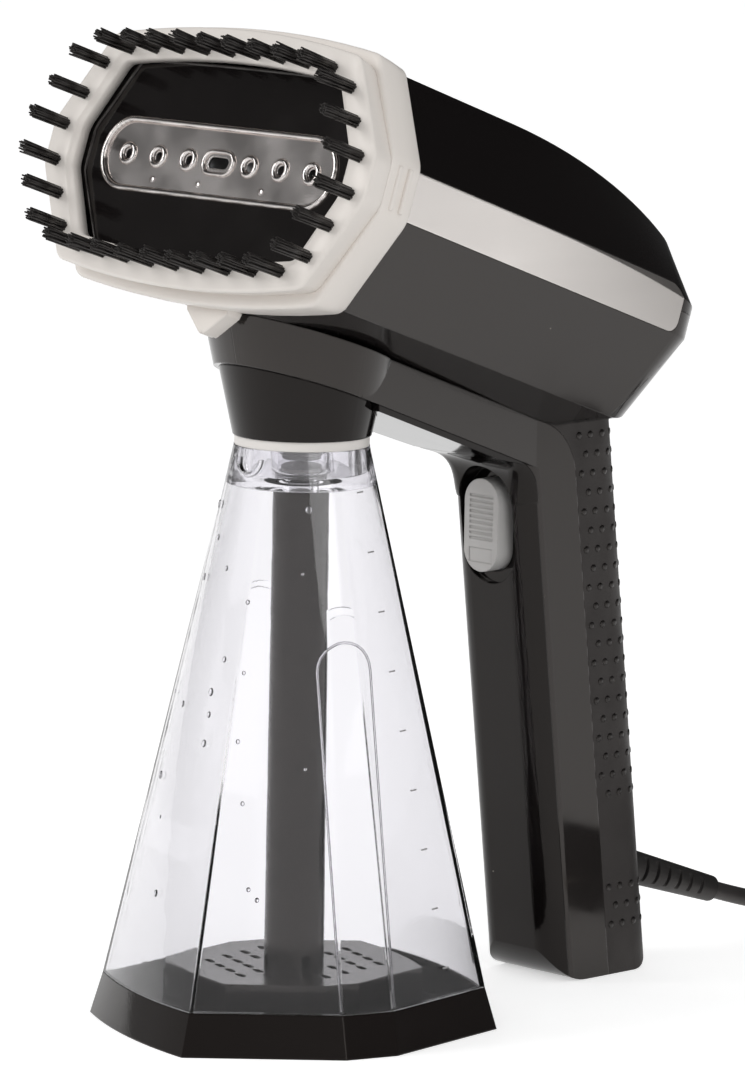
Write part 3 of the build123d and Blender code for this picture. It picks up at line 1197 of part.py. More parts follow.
# ---------------------------------------------------------------- export
def main():
    """Write one STEP file per piece."""
    os.makedirs("parts", exist_ok=True)
    groups = [
        (("upper_cover", "right_band", "left_band", "lower_shell"), barrel_parts()),
        (("faceplate", "steam_insert", "head_bezel"), face_parts()),
        (("brush_frame", "brush_rim", "bristle_tufts"), brush_parts()),
        (
            ("tank_shell", "tank_skirt", "tank_plate", "suction_tube", "neck_insert", "tank_valve"),
            tank_parts(),
        ),
        (("lock_ring", "neck_collar"), (lock_ring(), collar())),
        (("inlet_spigot", "inlet_seal", "suction_hose"), inlet_parts()),
        (("right_panel", "left_panel", "handle_cover", "rear_grip"), handle_parts()),
        (("trigger",), (trigger(),)),
        (("steam_chamber", "chamber_gasket", "chamber_cover", "heating_element", "thermostat", "thermal_fuse",
          "chamber_screws"), chamber_parts()),
        (("pump", "pump_mounts", "pressure_hose", "arm_screws"), pump_parts()),
        (("switch_body", "switch_lever", "lever_pin", "switch_bracket", "terminal_block", "switch_wires",
          "head_wires"), switch_parts()),
        (("cord_boot",), (boot(),)),
        (("cord_lead", "cord_anchor", "cord_clamp", "clamp_screws"), lead_parts()),
        (("power_cord", "cord_coil", "cord_end", "cord_tie", "plug_body", "plug_pins"), cord_parts()),
    ]
    for names, shapes in groups:
        for name, shape in zip(names, shapes, strict=True):
            export_step(shape, f"parts/{name}.step")
            print(name, len(shape.solids()), round(shape.volume, 1))


main()
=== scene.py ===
"""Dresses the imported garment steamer: camera, mains cord, finishes and the fine pieces solids leave out."""

import math
import random

import bmesh
import bpy
from mathutils import Matrix, Vector
from mathutils.bvhtree import BVHTree


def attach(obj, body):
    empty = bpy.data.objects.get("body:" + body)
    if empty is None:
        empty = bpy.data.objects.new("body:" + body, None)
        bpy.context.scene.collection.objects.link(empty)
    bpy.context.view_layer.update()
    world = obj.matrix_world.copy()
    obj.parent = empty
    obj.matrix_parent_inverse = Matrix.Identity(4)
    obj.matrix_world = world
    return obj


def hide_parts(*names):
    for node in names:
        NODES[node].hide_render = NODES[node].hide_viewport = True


bl_info = {
    "name": "Garment Steamer Dressing",
    "version": (1, 0, 0),
    "blender": (4, 5, 0),
    "location": "3D View > Sidebar > Steamer",
    "description": "Builds the visible finish of a handheld garment steamer around its CAD frame",
    "category": "Object",
}

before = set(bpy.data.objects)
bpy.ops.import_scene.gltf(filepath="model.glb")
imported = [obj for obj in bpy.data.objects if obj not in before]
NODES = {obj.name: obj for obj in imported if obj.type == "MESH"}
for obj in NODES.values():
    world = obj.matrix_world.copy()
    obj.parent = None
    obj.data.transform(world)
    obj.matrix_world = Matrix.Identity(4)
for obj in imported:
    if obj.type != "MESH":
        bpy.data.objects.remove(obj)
MM = 0.001

# ---- camera ----
CAMERA_TARGET = Vector((0.0, 30.28, 144.2)) * MM
CAMERA_AZIMUTH = math.radians(45.52)
CAMERA_ELEVATION = math.radians(8.54)
CAMERA_ROLL = math.radians(1.01)
CAMERA_DISTANCE = 2023.28 * MM
CAMERA_LENS = 222.9
CAMERA_SENSOR = 36.0

# ---- the head's own directions: across is +X, height and depth lean with the head ----
HEAD_TILT = math.radians(19.0)
HEAD_ORIGIN = Vector((0.0, -39.8, 263.4)) * MM
HEAD_UP = Vector((0.0, math.sin(HEAD_TILT), math.cos(HEAD_TILT)))
HEAD_BACK = Vector((0.0, math.cos(HEAD_TILT), -math.sin(HEAD_TILT)))

# ---- brush, in millimetres: octagons as half-width, half-height, flat, inset, bow, corner reach ----
BRUSH_OUTER = (68.8, 35.0, 6.8, 16.4, 4.5, 2.4)
BRUSH_OPENING = (57.3, 26.7, 6.0, 11.3, 3.2, 2.0)
BRUSH_HOLLOW = (64.8, 33.4, 6.8, 15.6, 4.0, 2.0)
BRUSH_RIM = (67.9, 38.0, 8.2, 16.4, 4.0, 2.6)
BRUSH_BORE = (65.6, 35.6, 7.5, 15.3, 0.0, 0.6)
ARCH_STEPS = 12
CORNER_STEPS = 4

# ---- skins of the brush: each loop is an octagon, how far it is grown, and its depth ----
FRAME_PROFILE = [
    (BRUSH_OUTER, -1.35, 7.2), (BRUSH_OUTER, -1.2, 6.9), (BRUSH_OUTER, -0.15, 0.2), (BRUSH_OUTER, 0, -0.5),
    (BRUSH_OUTER, -0.25, -1.05), (BRUSH_OUTER, -0.9, -1.5), (BRUSH_OPENING, 2.1, -1.5),
    (BRUSH_OPENING, 1.75, -1.42), (BRUSH_OPENING, 1.5, -1.1), (BRUSH_OPENING, 0.9, -0.5),
    (BRUSH_OPENING, 0.35, -0.3), (BRUSH_OPENING, 0, 0.2), (BRUSH_OPENING, 0, 3.4), (BRUSH_OPENING, 1.6, 3.4),
    (BRUSH_OPENING, 1.6, 2.1), (BRUSH_HOLLOW, -0.2, 2.1), (BRUSH_HOLLOW, -0.2, 7.2),
]
RIM_PROFILE = [
    (BRUSH_OUTER, -1.35, 7.0), (BRUSH_RIM, -0.9, 6.9), (BRUSH_RIM, -0.25, 7.25), (BRUSH_RIM, 0, 8.2),
    (BRUSH_RIM, -0.5, 14.0), (BRUSH_RIM, -1.2, 19.8), (BRUSH_RIM, -1.75, 20.6), (BRUSH_BORE, 0, 20.6),
    (BRUSH_BORE, 0, 8.4), (BRUSH_HOLLOW, -0.2, 8.4), (BRUSH_HOLLOW, -0.2, 7.0),
]
TAB_OUTLINE = [
    (-9.2, -40.6), (-8.6, -42.6), (-1.6, -48.6), (-0.7, -49.2), (0, -48.3), (0.7, -49.2), (1.6, -48.6),
    (8.6, -42.6), (9.2, -40.6),
]
TAB_DEPTH = 20.6
TAB_THICKNESS = 6.0
RIDGE_DEPTHS = (11.0, 15.4)
RIDGE_ACROSS = 67.6
RIDGE_SIZE = (1.6, 1.7, 13.5)

# ---- bristle tufts, in millimetres ----
ROW_TUFTS = 9
ROW_PITCH = 10.8
ROW_END_HEIGHT = 29.95
ROW_BOW = 2.6
ROW_BOW_HALF = 49.2
SIDE_TUFTS = 6
SIDE_RUN = [Vector((52.7, 25.35)), Vector((63.05, 6.4)), Vector((63.05, -6.4)), Vector((52.7, -25.35))]
TUFT_ROOT_DEPTH = -1.2
TUFT_END_DEPTH = -15.9
TUFT_REACH = 1.65
FILAMENTS = 24
FILAMENT_ROOT_R = 0.40
FILAMENT_TIP_R = 0.27
GOLDEN_ANGLE = math.radians(137.5)

# ---- steam face, in millimetres ----
HOLE_PITCH = 13.1
HOLE_RIM_R = 2.7
HOLE_RIM_THICK = 0.95
HOLE_RIM_DEPTH = 4.55
SLOT_RIM = (12.6, 6.8)
SLOT_RIM_THICK = 0.7
SLOT_RIM_DEPTH = 4.25
PLATE_EDGE = (98.6, 21.1)
PLATE_EDGE_THICK = 1.0
FACE_FRONT_DEPTH = 4.0
BUMPS_ACROSS = (-26.2, -6.5, 20.5)
BUMP_HEIGHT = -7.0
BUMP_DEPTH = 4.35
BUMP_R = 1.1
FACE_STEP = (55.6, 28.4, 6.6, 13.0, 0.6, 2.0)
FACE_STEP_THICK = 0.55

# ---- tank, in millimetres ----
TICK_COUNT = 9
TICK_TOP = 163.8
TICK_PITCH = 17.8
TICK_SIZE = (2.8, 0.45, 0.3)
TICK_LINE_FOOT = 21
TICK_LINE_LEAN = 0.112
RAY_START = 80
DROPS = 22
DROP_ARC = (-135, -38)
DROP_HEIGHTS = (34, 160)
DROP_RADII = (0.5, 1.15)
GROOVE_ANGLE = math.radians(-18.3)
GROOVE_WAY = Vector((math.cos(GROOVE_ANGLE), math.sin(GROOVE_ANGLE), 0))
GROOVE_HALF = 8.7
GROOVE_FOOT = 14
GROOVE_ARCH = 112
GROOVE_STEP = 6
GROOVE_ARCH_STEPS = 12
# radius of the clear strip that paints a highlight along the finger groove's edge
GROOVE_HIGHLIGHT_R = 0.42

# ---- grip dots ----
DOT_TOP = 172.0
DOT_ROWS = 27
DOT_PITCH = 6.0
DOT_BARE = (28.0, 58.0)
DOT_COLUMNS = 6
DOT_STEP = math.radians(17.0)
DOT_RADIUS = 1.2 * MM
DOT_FLATNESS = 0.28
GRIP_LEAN = 0.1246
GRIP_CENTRE_FOOT = 127.3

# ---- finishes and light ----
DARK_FRONT = ("handle_cover", "neck_collar")
EDGE_ROUNDING = 0.6 * MM
SHINE_TINT = (1.0, 0.93, 0.88, 1.0)
ROOM_LIGHT = 0.62

# ---- mains cord: the route from the boot to the coil, and from the coil to the plug ----
LEAD_ROUTE = [(0, 184.5, 16.8), (0, 202.017, 11.168), (0, 226, 5.8), (0, 236, 4.2)]
END_ROUTE = [(48, 281.4, 20.4), (56, 281, 19.5), (77, 281, 16.6), (98, 260, 13), (98, 248, 13), (98, 236, 13)]
COIL_CENTRE = Vector((36.0, 245.0, 0.0)) * MM
COIL_RADII = (24.9, 30.65, 36.4)
COIL_LOW = 3.35
COIL_LAYER_PITCH = 5.75
COIL_TURNS = 10.25
COIL_LAYER_STEPS = 4
COIL_POINTS = 24
COIL_SIDESTEP = 0.22
COIL_RISE = 0.12
COIL_FIRST_STEP = 0.75


# ------------------------------------------------------------------ settings

class STEAMER_PG_settings(bpy.types.PropertyGroup):
    """Sizes and colours of the steamer that a user may change."""

    cord_diameter: bpy.props.FloatProperty(
        name="Cord diameter", description="Thickness of the mains cord",
        default=5.6 * MM, min=4 * MM, max=8 * MM, unit="LENGTH")
    shell_colour: bpy.props.FloatVectorProperty(
        name="Shell colour", description="Dark gloss plastic of the lower shell and handle",
        default=(0.016, 0.014, 0.0135), size=3, min=0, max=1, subtype="COLOR")
    cover_colour: bpy.props.FloatVectorProperty(
        name="Cover colour", description="Piano black of the upper cover",
        default=(0.006, 0.005, 0.005), size=3, min=0, max=1, subtype="COLOR")
    band_colour: bpy.props.FloatVectorProperty(
        name="Band colour", description="Satin silver of the side bands",
        default=(0.80, 0.76, 0.73), size=3, min=0, max=1, subtype="COLOR")
    brush_colour: bpy.props.FloatVectorProperty(
        name="Brush colour", description="Warm pale plastic of the brush frame",
        default=(0.80, 0.755, 0.71), size=3, min=0, max=1, subtype="COLOR")
    trigger_colour: bpy.props.FloatVectorProperty(
        name="Trigger colour", description="Light grey plastic of the trigger",
        default=(0.50, 0.49, 0.48), size=3, min=0, max=1, subtype="COLOR")
    skirt_colour: bpy.props.FloatVectorProperty(
        name="Skirt colour", description="Dark gloss plastic at the foot of the tank",
        default=(0.010, 0.008, 0.0075), size=3, min=0, max=1, subtype="COLOR")
    cord_colour: bpy.props.FloatVectorProperty(
        name="Cord colour", description="Dark grey sleeve of the mains cord",
        default=(0.035, 0.032, 0.032), size=3, min=0, max=1, subtype="COLOR")


# ------------------------------------------------------------------ shader parts

def link(tree, source, target):
    tree.links.new(source, target)


def new_group(name, inputs, output, kind):
    """An empty node group with float inputs after its vector input, and one output."""
    group = bpy.data.node_groups.new(name, "ShaderNodeTree")
    group.interface.new_socket("Vector", in_out="INPUT", socket_type="NodeSocketVector")
    for socket, value in inputs.items():
        made = group.interface.new_socket(socket, in_out="INPUT", socket_type="NodeSocketFloat")
        made.default_value = value
    group.interface.new_socket(output, in_out="OUTPUT", socket_type=kind)
    return group, group.nodes.new("NodeGroupInput"), group.nodes.new("NodeGroupOutput")


def uneven_gloss_group():
    """Roughness that wanders between two values."""
    group, given, result = new_group(
        "Uneven gloss", {"Scale": 60.0, "Least": 0.1, "Most": 0.2}, "Roughness", "NodeSocketFloat")
    noise = group.nodes.new("ShaderNodeTexNoise")
    noise.inputs["Detail"].default_value = 4.0
    spread = group.nodes.new("ShaderNodeMapRange")
    spread.inputs["From Min"].default_value = 0.35
    spread.inputs["From Max"].default_value = 0.65
    link(group, given.outputs["Vector"], noise.inputs["Vector"])
    link(group, given.outputs["Scale"], noise.inputs["Scale"])
    link(group, noise.outputs["Fac"], spread.inputs["Value"])
    link(group, given.outputs["Least"], spread.inputs["To Min"])
    link(group, given.outputs["Most"], spread.inputs["To Max"])
    link(group, spread.outputs["Result"], result.inputs["Roughness"])
    return group


def fine_grain_group():
    """A normal that rounds off sharp edges and is bent by fine moulded grain."""
    group, given, result = new_group(
        "Fine grain", {"Scale": 900.0, "Depth": 0.00002}, "Normal", "NodeSocketVector")
    noise = group.nodes.new("ShaderNodeTexNoise")
    noise.inputs["Detail"].default_value = 3.0
    edges = group.nodes.new("ShaderNodeBevel")
    edges.samples = 4
    edges.inputs["Radius"].default_value = EDGE_ROUNDING
    bump = group.nodes.new("ShaderNodeBump")
    link(group, edges.outputs["Normal"], bump.inputs["Normal"])
    link(group, given.outputs["Vector"], noise.inputs["Vector"])
    link(group, given.outputs["Scale"], noise.inputs["Scale"])
    link(group, noise.outputs["Fac"], bump.inputs["Height"])
    link(group, given.outputs["Depth"], bump.inputs["Distance"])
    link(group, bump.outputs["Normal"], result.inputs["Normal"])
    return group


def dust_group():
    """A mask of rare small specks."""
    group, given, result = new_group(
        "Dust specks", {"Scale": 260.0, "Size": 0.10, "Share": 0.06}, "Mask", "NodeSocketFloat")
    cells = group.nodes.new("ShaderNodeTexVoronoi")
    near = group.nodes.new("ShaderNodeMath")
    near.operation = "LESS_THAN"
    rare = group.nodes.new("ShaderNodeMath")
    rare.operation = "LESS_THAN"
    split = group.nodes.new("ShaderNodeSeparateColor")
    both = group.nodes.new("ShaderNodeMath")
    both.operation = "MULTIPLY"
    link(group, given.outputs["Vector"], cells.inputs["Vector"])
    link(group, given.outputs["Scale"], cells.inputs["Scale"])
    link(group, cells.outputs["Distance"], near.inputs[0])
    link(group, given.outputs["Size"], near.inputs[1])
    link(group, cells.outputs["Color"], split.inputs["Color"])
    link(group, split.outputs["Red"], rare.inputs[0])
    link(group, given.outputs["Share"], rare.inputs[1])
    link(group, near.outputs["Value"], both.inputs[0])
    link(group, rare.outputs["Value"], both.inputs[1])
    link(group, both.outputs["Value"], result.inputs["Mask"])
    return group


def group_node(tree, group, vector, **values):
    """The group as a node in the tree, fed by the vector, with its values set."""
    node = tree.nodes.new("ShaderNodeGroup")
    node.node_tree = group
    link(tree, vector, node.inputs["Vector"])
    for socket, value in values.items():
        node.inputs[socket].default_value = value
    return node


def shared_group(name, maker):
    return bpy.data.node_groups.get(name) or maker()


def blank_material(name):
    """A material with its Principled shader and an object coordinate to feed textures from."""
    material = bpy.data.materials.new(name)
    material.use_nodes = True
    tree = material.node_tree
    shader = tree.nodes["Principled BSDF"]
    place = tree.nodes.new("ShaderNodeTexCoord").outputs["Object"]
    return material, tree, shader, place


def stretched(tree, place, scale):
    """The place with its axes scaled, so that a texture is drawn out along one of them."""
    mapping = tree.nodes.new("ShaderNodeMapping")
    mapping.inputs["Scale"].default_value = scale
    link(tree, place, mapping.inputs["Vector"])
    return mapping.outputs["Vector"]


def varied_colour(tree, place, colour, shift, scale):
    """The colour, a little lighter and darker in soft clouds."""
    noise = tree.nodes.new("ShaderNodeTexNoise")
    noise.inputs["Scale"].default_value = scale
    noise.inputs["Detail"].default_value = 3.0
    mix = tree.nodes.new("ShaderNodeMix")
    mix.data_type = "RGBA"
    mix.inputs["A"].default_value = (*[c * (1 - shift) for c in colour], 1)
    mix.inputs["B"].default_value = (*[min(1, c * (1 + shift)) for c in colour], 1)
    link(tree, place, noise.inputs["Vector"])
    link(tree, noise.outputs["Fac"], mix.inputs["Factor"])
    return mix.outputs["Result"]


def surface(name, colour, gloss=(0.2, 0.3), grain=(900, 0.00001), metallic=0.0, coat=0.0, dust=0.0,
            shift=0.06, drawn=(1, 1, 1), clouds=25, shine=0.5, painted_shade_along_y=None):
    """An opaque finish: clouded colour, uneven gloss and fine grain.

    Where asked it also has dust specks, a clear coat, and painted shade: a darkening between two places
    along y to a share of its colour.
    """
    material, tree, shader, place = blank_material(name)
    flow = stretched(tree, place, drawn)
    shade = varied_colour(tree, flow, colour, shift, clouds)
    if dust:
        specks = group_node(tree, shared_group("Dust specks", dust_group), place, Share=dust)
        mix = tree.nodes.new("ShaderNodeMix")
        mix.data_type = "RGBA"
        mix.inputs["B"].default_value = (0.25, 0.23, 0.20, 1)
        link(tree, specks.outputs["Mask"], mix.inputs["Factor"])
        link(tree, shade, mix.inputs["A"])
        shade = mix.outputs["Result"]
    # painted shade: the colour darkens between two places along y to a share of itself
    if painted_shade_along_y:
        split = tree.nodes.new("ShaderNodeSeparateXYZ")
        link(tree, place, split.inputs["Vector"])
        dark = tree.nodes.new("ShaderNodeMix")
        dark.data_type = "RGBA"
        dark.inputs["B"].default_value = (*[c * painted_shade_along_y[2] for c in colour], 1)
        link(tree, world_share(tree, split.outputs["Y"], painted_shade_along_y[:2], (0, 1)), dark.inputs["Factor"])
        link(tree, shade, dark.inputs["A"])
        shade = dark.outputs["Result"]
    rough = group_node(tree, shared_group("Uneven gloss", uneven_gloss_group), flow,
                       Scale=60, Least=gloss[0], Most=gloss[1])
    bent = group_node(tree, shared_group("Fine grain", fine_grain_group), flow,
                      Scale=grain[0], Depth=grain[1])
    link(tree, shade, shader.inputs["Base Color"])
    link(tree, rough.outputs["Roughness"], shader.inputs["Roughness"])
    link(tree, bent.outputs["Normal"], shader.inputs["Normal"])
    shader.inputs["Metallic"].default_value = metallic
    shader.inputs["Specular IOR Level"].default_value = shine
    shader.inputs["Specular Tint"].default_value = SHINE_TINT
    shader.inputs["Coat Weight"].default_value = coat
    shader.inputs["Coat Roughness"].default_value = 0.03
    return material


def clear_plastic(name, tint, roughness, ior, edge_tint=0.72):
    """Clear plastic with slightly uneven gloss and a faint tint that is deeper where it is seen edge on."""
    material, tree, shader, place = blank_material(name)
    shade = varied_colour(tree, place, tint, 0.01, 20)
    angle = tree.nodes.new("ShaderNodeLayerWeight")
    angle.inputs["Blend"].default_value = 0.35
    deep = tree.nodes.new("ShaderNodeMix")
    deep.data_type = "RGBA"
    deep.inputs["B"].default_value = (*[c * c * edge_tint for c in tint], 1)
    link(tree, angle.outputs["Facing"], deep.inputs["Factor"])
    link(tree, shade, deep.inputs["A"])
    shade = deep.outputs["Result"]
    rough = group_node(tree, shared_group("Uneven gloss", uneven_gloss_group), place,
                       Scale=30, Least=roughness, Most=roughness * 3)
    bent = group_node(tree, shared_group("Fine grain", fine_grain_group), place, Scale=40, Depth=0.00003)
    link(tree, shade, shader.inputs["Base Color"])
    link(tree, rough.outputs["Roughness"], shader.inputs["Roughness"])
    link(tree, bent.outputs["Normal"], shader.inputs["Normal"])
    shader.inputs["Transmission Weight"].default_value = 1.0
    shader.inputs["IOR"].default_value = ior
    return material


# ------------------------------------------------------------------ helpers for pieces

def settings():
    return bpy.context.scene.steamer


def link_piece(obj, body, material, replaced=()):
    """Puts the piece into the scene, on its body, with its material and what it stands for."""
    bpy.context.scene.collection.objects.link(obj)
    if material is not None:
        obj.data.materials.append(material)
    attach(obj, body)
    if replaced:
        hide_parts(*replaced)
    return obj


def head_point(across, height, depth):
    """A place on the head, from millimetres across, up and back from its face."""
    return HEAD_ORIGIN + (Vector((across, 0, 0)) + HEAD_UP * height + HEAD_BACK * depth) * MM


# ------------------------------------------------------------------ camera

class STEAMER_OT_camera(bpy.types.Operator):
    """Place the camera that looks at the steamer from its front left"""

    bl_idname = "steamer.camera"
    bl_label = "Place Camera"

    def execute(self, context):
        level = math.cos(CAMERA_ELEVATION)
        back = Vector((math.sin(CAMERA_AZIMUTH) * level, -math.cos(CAMERA_AZIMUTH) * level,
                       math.sin(CAMERA_ELEVATION)))
        side = Vector((math.cos(CAMERA_AZIMUTH), math.sin(CAMERA_AZIMUTH), 0.0))
        up = back.cross(side)
        right = side * math.cos(CAMERA_ROLL) + up * math.sin(CAMERA_ROLL)
        top = up * math.cos(CAMERA_ROLL) - side * math.sin(CAMERA_ROLL)
        data = bpy.data.cameras.new("camera")
        data.lens = CAMERA_LENS
        data.sensor_width = CAMERA_SENSOR
        data.clip_end = 20.0
        camera = bpy.data.objects.new("camera", data)
        context.scene.collection.objects.link(camera)
        turn = Matrix((right, top, back)).transposed().to_4x4()
        camera.matrix_world = Matrix.Translation(CAMERA_TARGET + back * CAMERA_DISTANCE) @ turn
        context.scene.camera = camera
        return {"FINISHED"}


# ------------------------------------------------------------------ mains cord

def coil_steps():
    """Where the coil's turns step sideways or rise a layer, as (start, length, sideways, up) in turns."""
    steps = []
    last = len(COIL_RADII) - 1
    start = COIL_FIRST_STEP
    inward = True
    for _ in range(COIL_LAYER_STEPS):
        for _ in range(last):
            steps.append((start, COIL_SIDESTEP, -1 if inward else 1, 0))
            start += 1.0
        start -= COIL_RISE
        steps.append((start, COIL_RISE, 0, 1))
        start += 1.0 - COIL_SIDESTEP
        inward = not inward
    return steps


def coil_points():
    """The coil's points in metres: turns that run clockwise, layer upon layer, each closed up to the last."""
    steps = coil_steps()
    pitch = COIL_RADII[1] - COIL_RADII[0]
    shrink = math.cos(math.pi / COIL_POINTS)
    points = []
    for index in range(int(COIL_TURNS * COIL_POINTS) + 1):
        turn = index / COIL_POINTS
        radius = COIL_RADII[-1]
        height = COIL_LOW
        for start, length, sideways, up in steps:
            share = min(max((turn - start) / length, 0.0), 1.0)
            radius += sideways * pitch * share
            height += up * COIL_LAYER_PITCH * share
        angle = math.pi - turn * math.tau
        reach = radius * MM / shrink
        points.append(COIL_CENTRE + Vector((reach * math.cos(angle), reach * math.sin(angle), height * MM)))
    return points


def cord_curve(name, points, diameter):
    """One open smooth line through a cord's points, as thick as the cord."""
    data = bpy.data.curves.new(name, "CURVE")
    data.dimensions = "3D"
    data.resolution_u = 6
    data.bevel_depth = diameter / 2
    data.bevel_resolution = 4
    data.use_fill_caps = True
    spline = data.splines.new("NURBS")
    spline.points.add(len(points) - 1)
    for point, place in zip(spline.points, points):
        point.co = (*place, 1.0)
    spline.order_u = 3
    spline.use_endpoint_u = True
    return bpy.data.objects.new(name, data), spline


class STEAMER_OT_cord(bpy.types.Operator):
    """Lay the mains cord from the boot into its coil and on to the plug"""

    bl_idname = "steamer.cord"
    bl_label = "Lay Cord"

    def execute(self, context):
        diameter = settings().cord_diameter
        lead = [Vector(p) * MM for p in LEAD_ROUTE]
        end = [Vector(p) * MM for p in END_ROUTE]
        obj, spline = cord_curve("mains_cord", lead + coil_points() + end, diameter)
        finish = surface("cord sleeve", settings().cord_colour, gloss=(0.42, 0.55), grain=(1400, 0.00003))
        link_piece(obj, "housing", finish, ("power_cord", "cord_coil", "cord_end"))
        return {"FINISHED"}


# ------------------------------------------------------------------ finishes of the parts carried over

def finish_table():
    """Each material slot's finish, in the order of the record."""
    s = settings()
    return {
        "gloss_black": surface("piano black", s.cover_colour, gloss=(0.05, 0.09), grain=(30, 0.00001),
                               dust=0.05, shine=0.3),
        "shell_grey": surface("dark gloss", s.shell_colour, gloss=(0.07, 0.12), grain=(40, 0.00001),
                              dust=0.02, shine=0.42),
        # painted shade: the satin silver band darkens towards its rear
        "band_silver": surface("satin silver", s.band_colour, gloss=(0.28, 0.36), metallic=0.85,
                               grain=(1500, 0.00001), shift=0.03, drawn=(1, 0.15, 1),
                               painted_shade_along_y=(0.02, 0.13, 0.42)),
        "grip_matte": surface("matt grip", (0.016, 0.014, 0.014), gloss=(0.45, 0.6), grain=(1800, 0.00004)),
        "face_black": surface("face black", (0.006, 0.005, 0.005), gloss=(0.06, 0.12), shine=0.35),
        "insert_chrome": surface("polished plate", (0.62, 0.585, 0.57), gloss=(0.10, 0.18), metallic=1.0,
                                 grain=(60, 0.00002), shift=0.03),
        "bezel_black": surface("bezel black", (0.010, 0.009, 0.009), gloss=(0.25, 0.35)),
        "brush_white": surface("brush white", s.brush_colour, gloss=(0.32, 0.42), grain=(1200, 0.00001),
                               shift=0.03),
        "bristle_black": surface("bristle black", (0.010, 0.009, 0.009), gloss=(0.3, 0.5)),
        "trigger_grey": surface("trigger grey", s.trigger_colour, gloss=(0.3, 0.4), shift=0.03),
        "ring_white": surface("ring white", (0.78, 0.75, 0.72), gloss=(0.3, 0.4), shift=0.02),
        "tank_clear": clear_plastic("clear tank", (0.955, 0.95, 0.967), 0.01, 1.42),
        "skirt_dark": surface("skirt dark", s.skirt_colour, gloss=(0.06, 0.12), shine=0.3),
        "tube_dark": surface("tube dark", (0.010, 0.0085, 0.008), gloss=(0.12, 0.2), shine=0.4),
        "soft_rubber": surface("soft rubber", (0.020, 0.019, 0.019), gloss=(0.5, 0.65),
                               grain=(1500, 0.00004)),
        "silicone": surface("silicone", (0.55, 0.53, 0.50), gloss=(0.4, 0.5)),
        "cast_alloy": surface("cast alloy", (0.45, 0.45, 0.46), gloss=(0.4, 0.55), metallic=1.0,
                              grain=(700, 0.0001)),
        "element_steel": surface("element steel", (0.42, 0.41, 0.40), gloss=(0.25, 0.4), metallic=1.0),
        "screw_steel": surface("screw steel", (0.5, 0.5, 0.51), gloss=(0.2, 0.35), metallic=1.0),
        "pump_case": surface("pump case", (0.12, 0.12, 0.13), gloss=(0.35, 0.5)),
        "inner_plastic": surface("inner plastic", (0.35, 0.34, 0.33), gloss=(0.4, 0.5)),
        "wire_sleeve": surface("wire sleeve", (0.45, 0.06, 0.04), gloss=(0.35, 0.5)),
        "cord_grey": surface("cord grey", s.cord_colour, gloss=(0.42, 0.55), grain=(1400, 0.00003)),
        "pin_plate": surface("pin plate", (0.70, 0.66, 0.58), gloss=(0.18, 0.28), metallic=1.0),
    }


class STEAMER_OT_finishes(bpy.types.Operator):
    """Give every part carried over from the CAD its finish"""

    bl_idname = "steamer.finishes"
    bl_label = "Finish Carried Parts"

    def execute(self, context):
        finishes = finish_table()
        front = surface("front gloss", settings().cover_colour, gloss=(0.05, 0.10), grain=(30, 0.00001),
                        dust=0.02, shine=0.22)
        for name, node in NODES.items():
            for slot in node.material_slots:
                slot.material = front if name in DARK_FRONT else finishes[slot.material.name]
        return {"FINISHED"}


# ------------------------------------------------------------------ shapes shared by the pieces

def eased_corner(before, corner, after, reach):
    """Points that ease a corner over a reach along both of its sides."""
    here = Vector(corner)
    start = here + (Vector(before) - here).normalized() * reach
    end = here + (Vector(after) - here).normalized() * reach
    points = []
    for step in range(CORNER_STEPS + 1):
        t = step / CORNER_STEPS
        points.append(start * (1 - t) ** 2 + here * 2 * t * (1 - t) + end * t ** 2)
    return points


def bowed_octagon(half_width, half_height, flat, inset, bow, corner):
    """Octagon with bowed top and bottom edges and eased corners, always of the same number of points."""
    top = half_width - inset
    arch = []
    for step in range(ARCH_STEPS + 1):
        share = 1 - 2 * step / ARCH_STEPS
        arch.append((top * share, half_height + bow * (1 - share * share)))
    sharp = [(half_width, -flat), (half_width, flat)] + arch
    sharp += [(-half_width, flat), (-half_width, -flat)] + [(-x, -y) for x, y in arch]
    half = len(arch) + 2
    corners = {0, 1, 2, half - 1, half, half + 1, half + 2, 2 * half - 1}
    points = []
    for index, point in enumerate(sharp):
        if index in corners:
            points += eased_corner(sharp[index - 1], point, sharp[(index + 1) % len(sharp)], corner)
        else:
            points.append(Vector(point))
    return points


def grown(octagon, grow):
    """The outline of a bowed octagon, wider and taller by a margin on each side."""
    half_width, half_height, *rest = octagon
    return bowed_octagon(half_width + grow, half_height + grow, *rest)


def head_loops(profile):
    """Loops of places on the head, one for each octagon of the profile."""
    return [head_run(grown(octagon, grow), depth) for octagon, grow, depth in profile]


def head_run(outline, depth):
    """Places on the head, from points across and up in millimetres, all at one depth."""
    return [head_point(x, y, depth) for x, y in outline]


def swept(name, loops):
    """A closed skin drawn through loops of places that all have the same number of points."""
    shape = bmesh.new()
    corners = [shape.verts.new(place) for place in loops[0]]
    edges = [shape.edges.new((one, corners[(i + 1) % len(corners)])) for i, one in enumerate(corners)]
    for loop in loops[1:] + loops[:1]:
        order = {tuple(corner.co): index for index, corner in enumerate(corners)}
        made = bmesh.ops.extrude_edge_only(shape, edges=edges)["geom"]
        fresh = [item for item in made if isinstance(item, bmesh.types.BMVert)]
        fresh.sort(key=lambda corner: order[tuple(corner.co)])
        edges = [item for item in made if isinstance(item, bmesh.types.BMEdge)
                 and item.verts[0] in fresh and item.verts[1] in fresh]
        for corner, place in zip(fresh, loop):
            corner.co = place
        corners = fresh
    bmesh.ops.remove_doubles(shape, verts=shape.verts, dist=0.002 * MM)
    return finished(name, shape)


def scaled(sizes):
    """A matrix that gives a unit shape its sizes, in millimetres."""
    return Matrix.Diagonal((*[size * MM for size in sizes], 1))


def facing(normal):
    """The turn that lays a shape's own Z along the normal."""
    return normal.to_track_quat("Z", "Y").to_matrix().to_4x4()


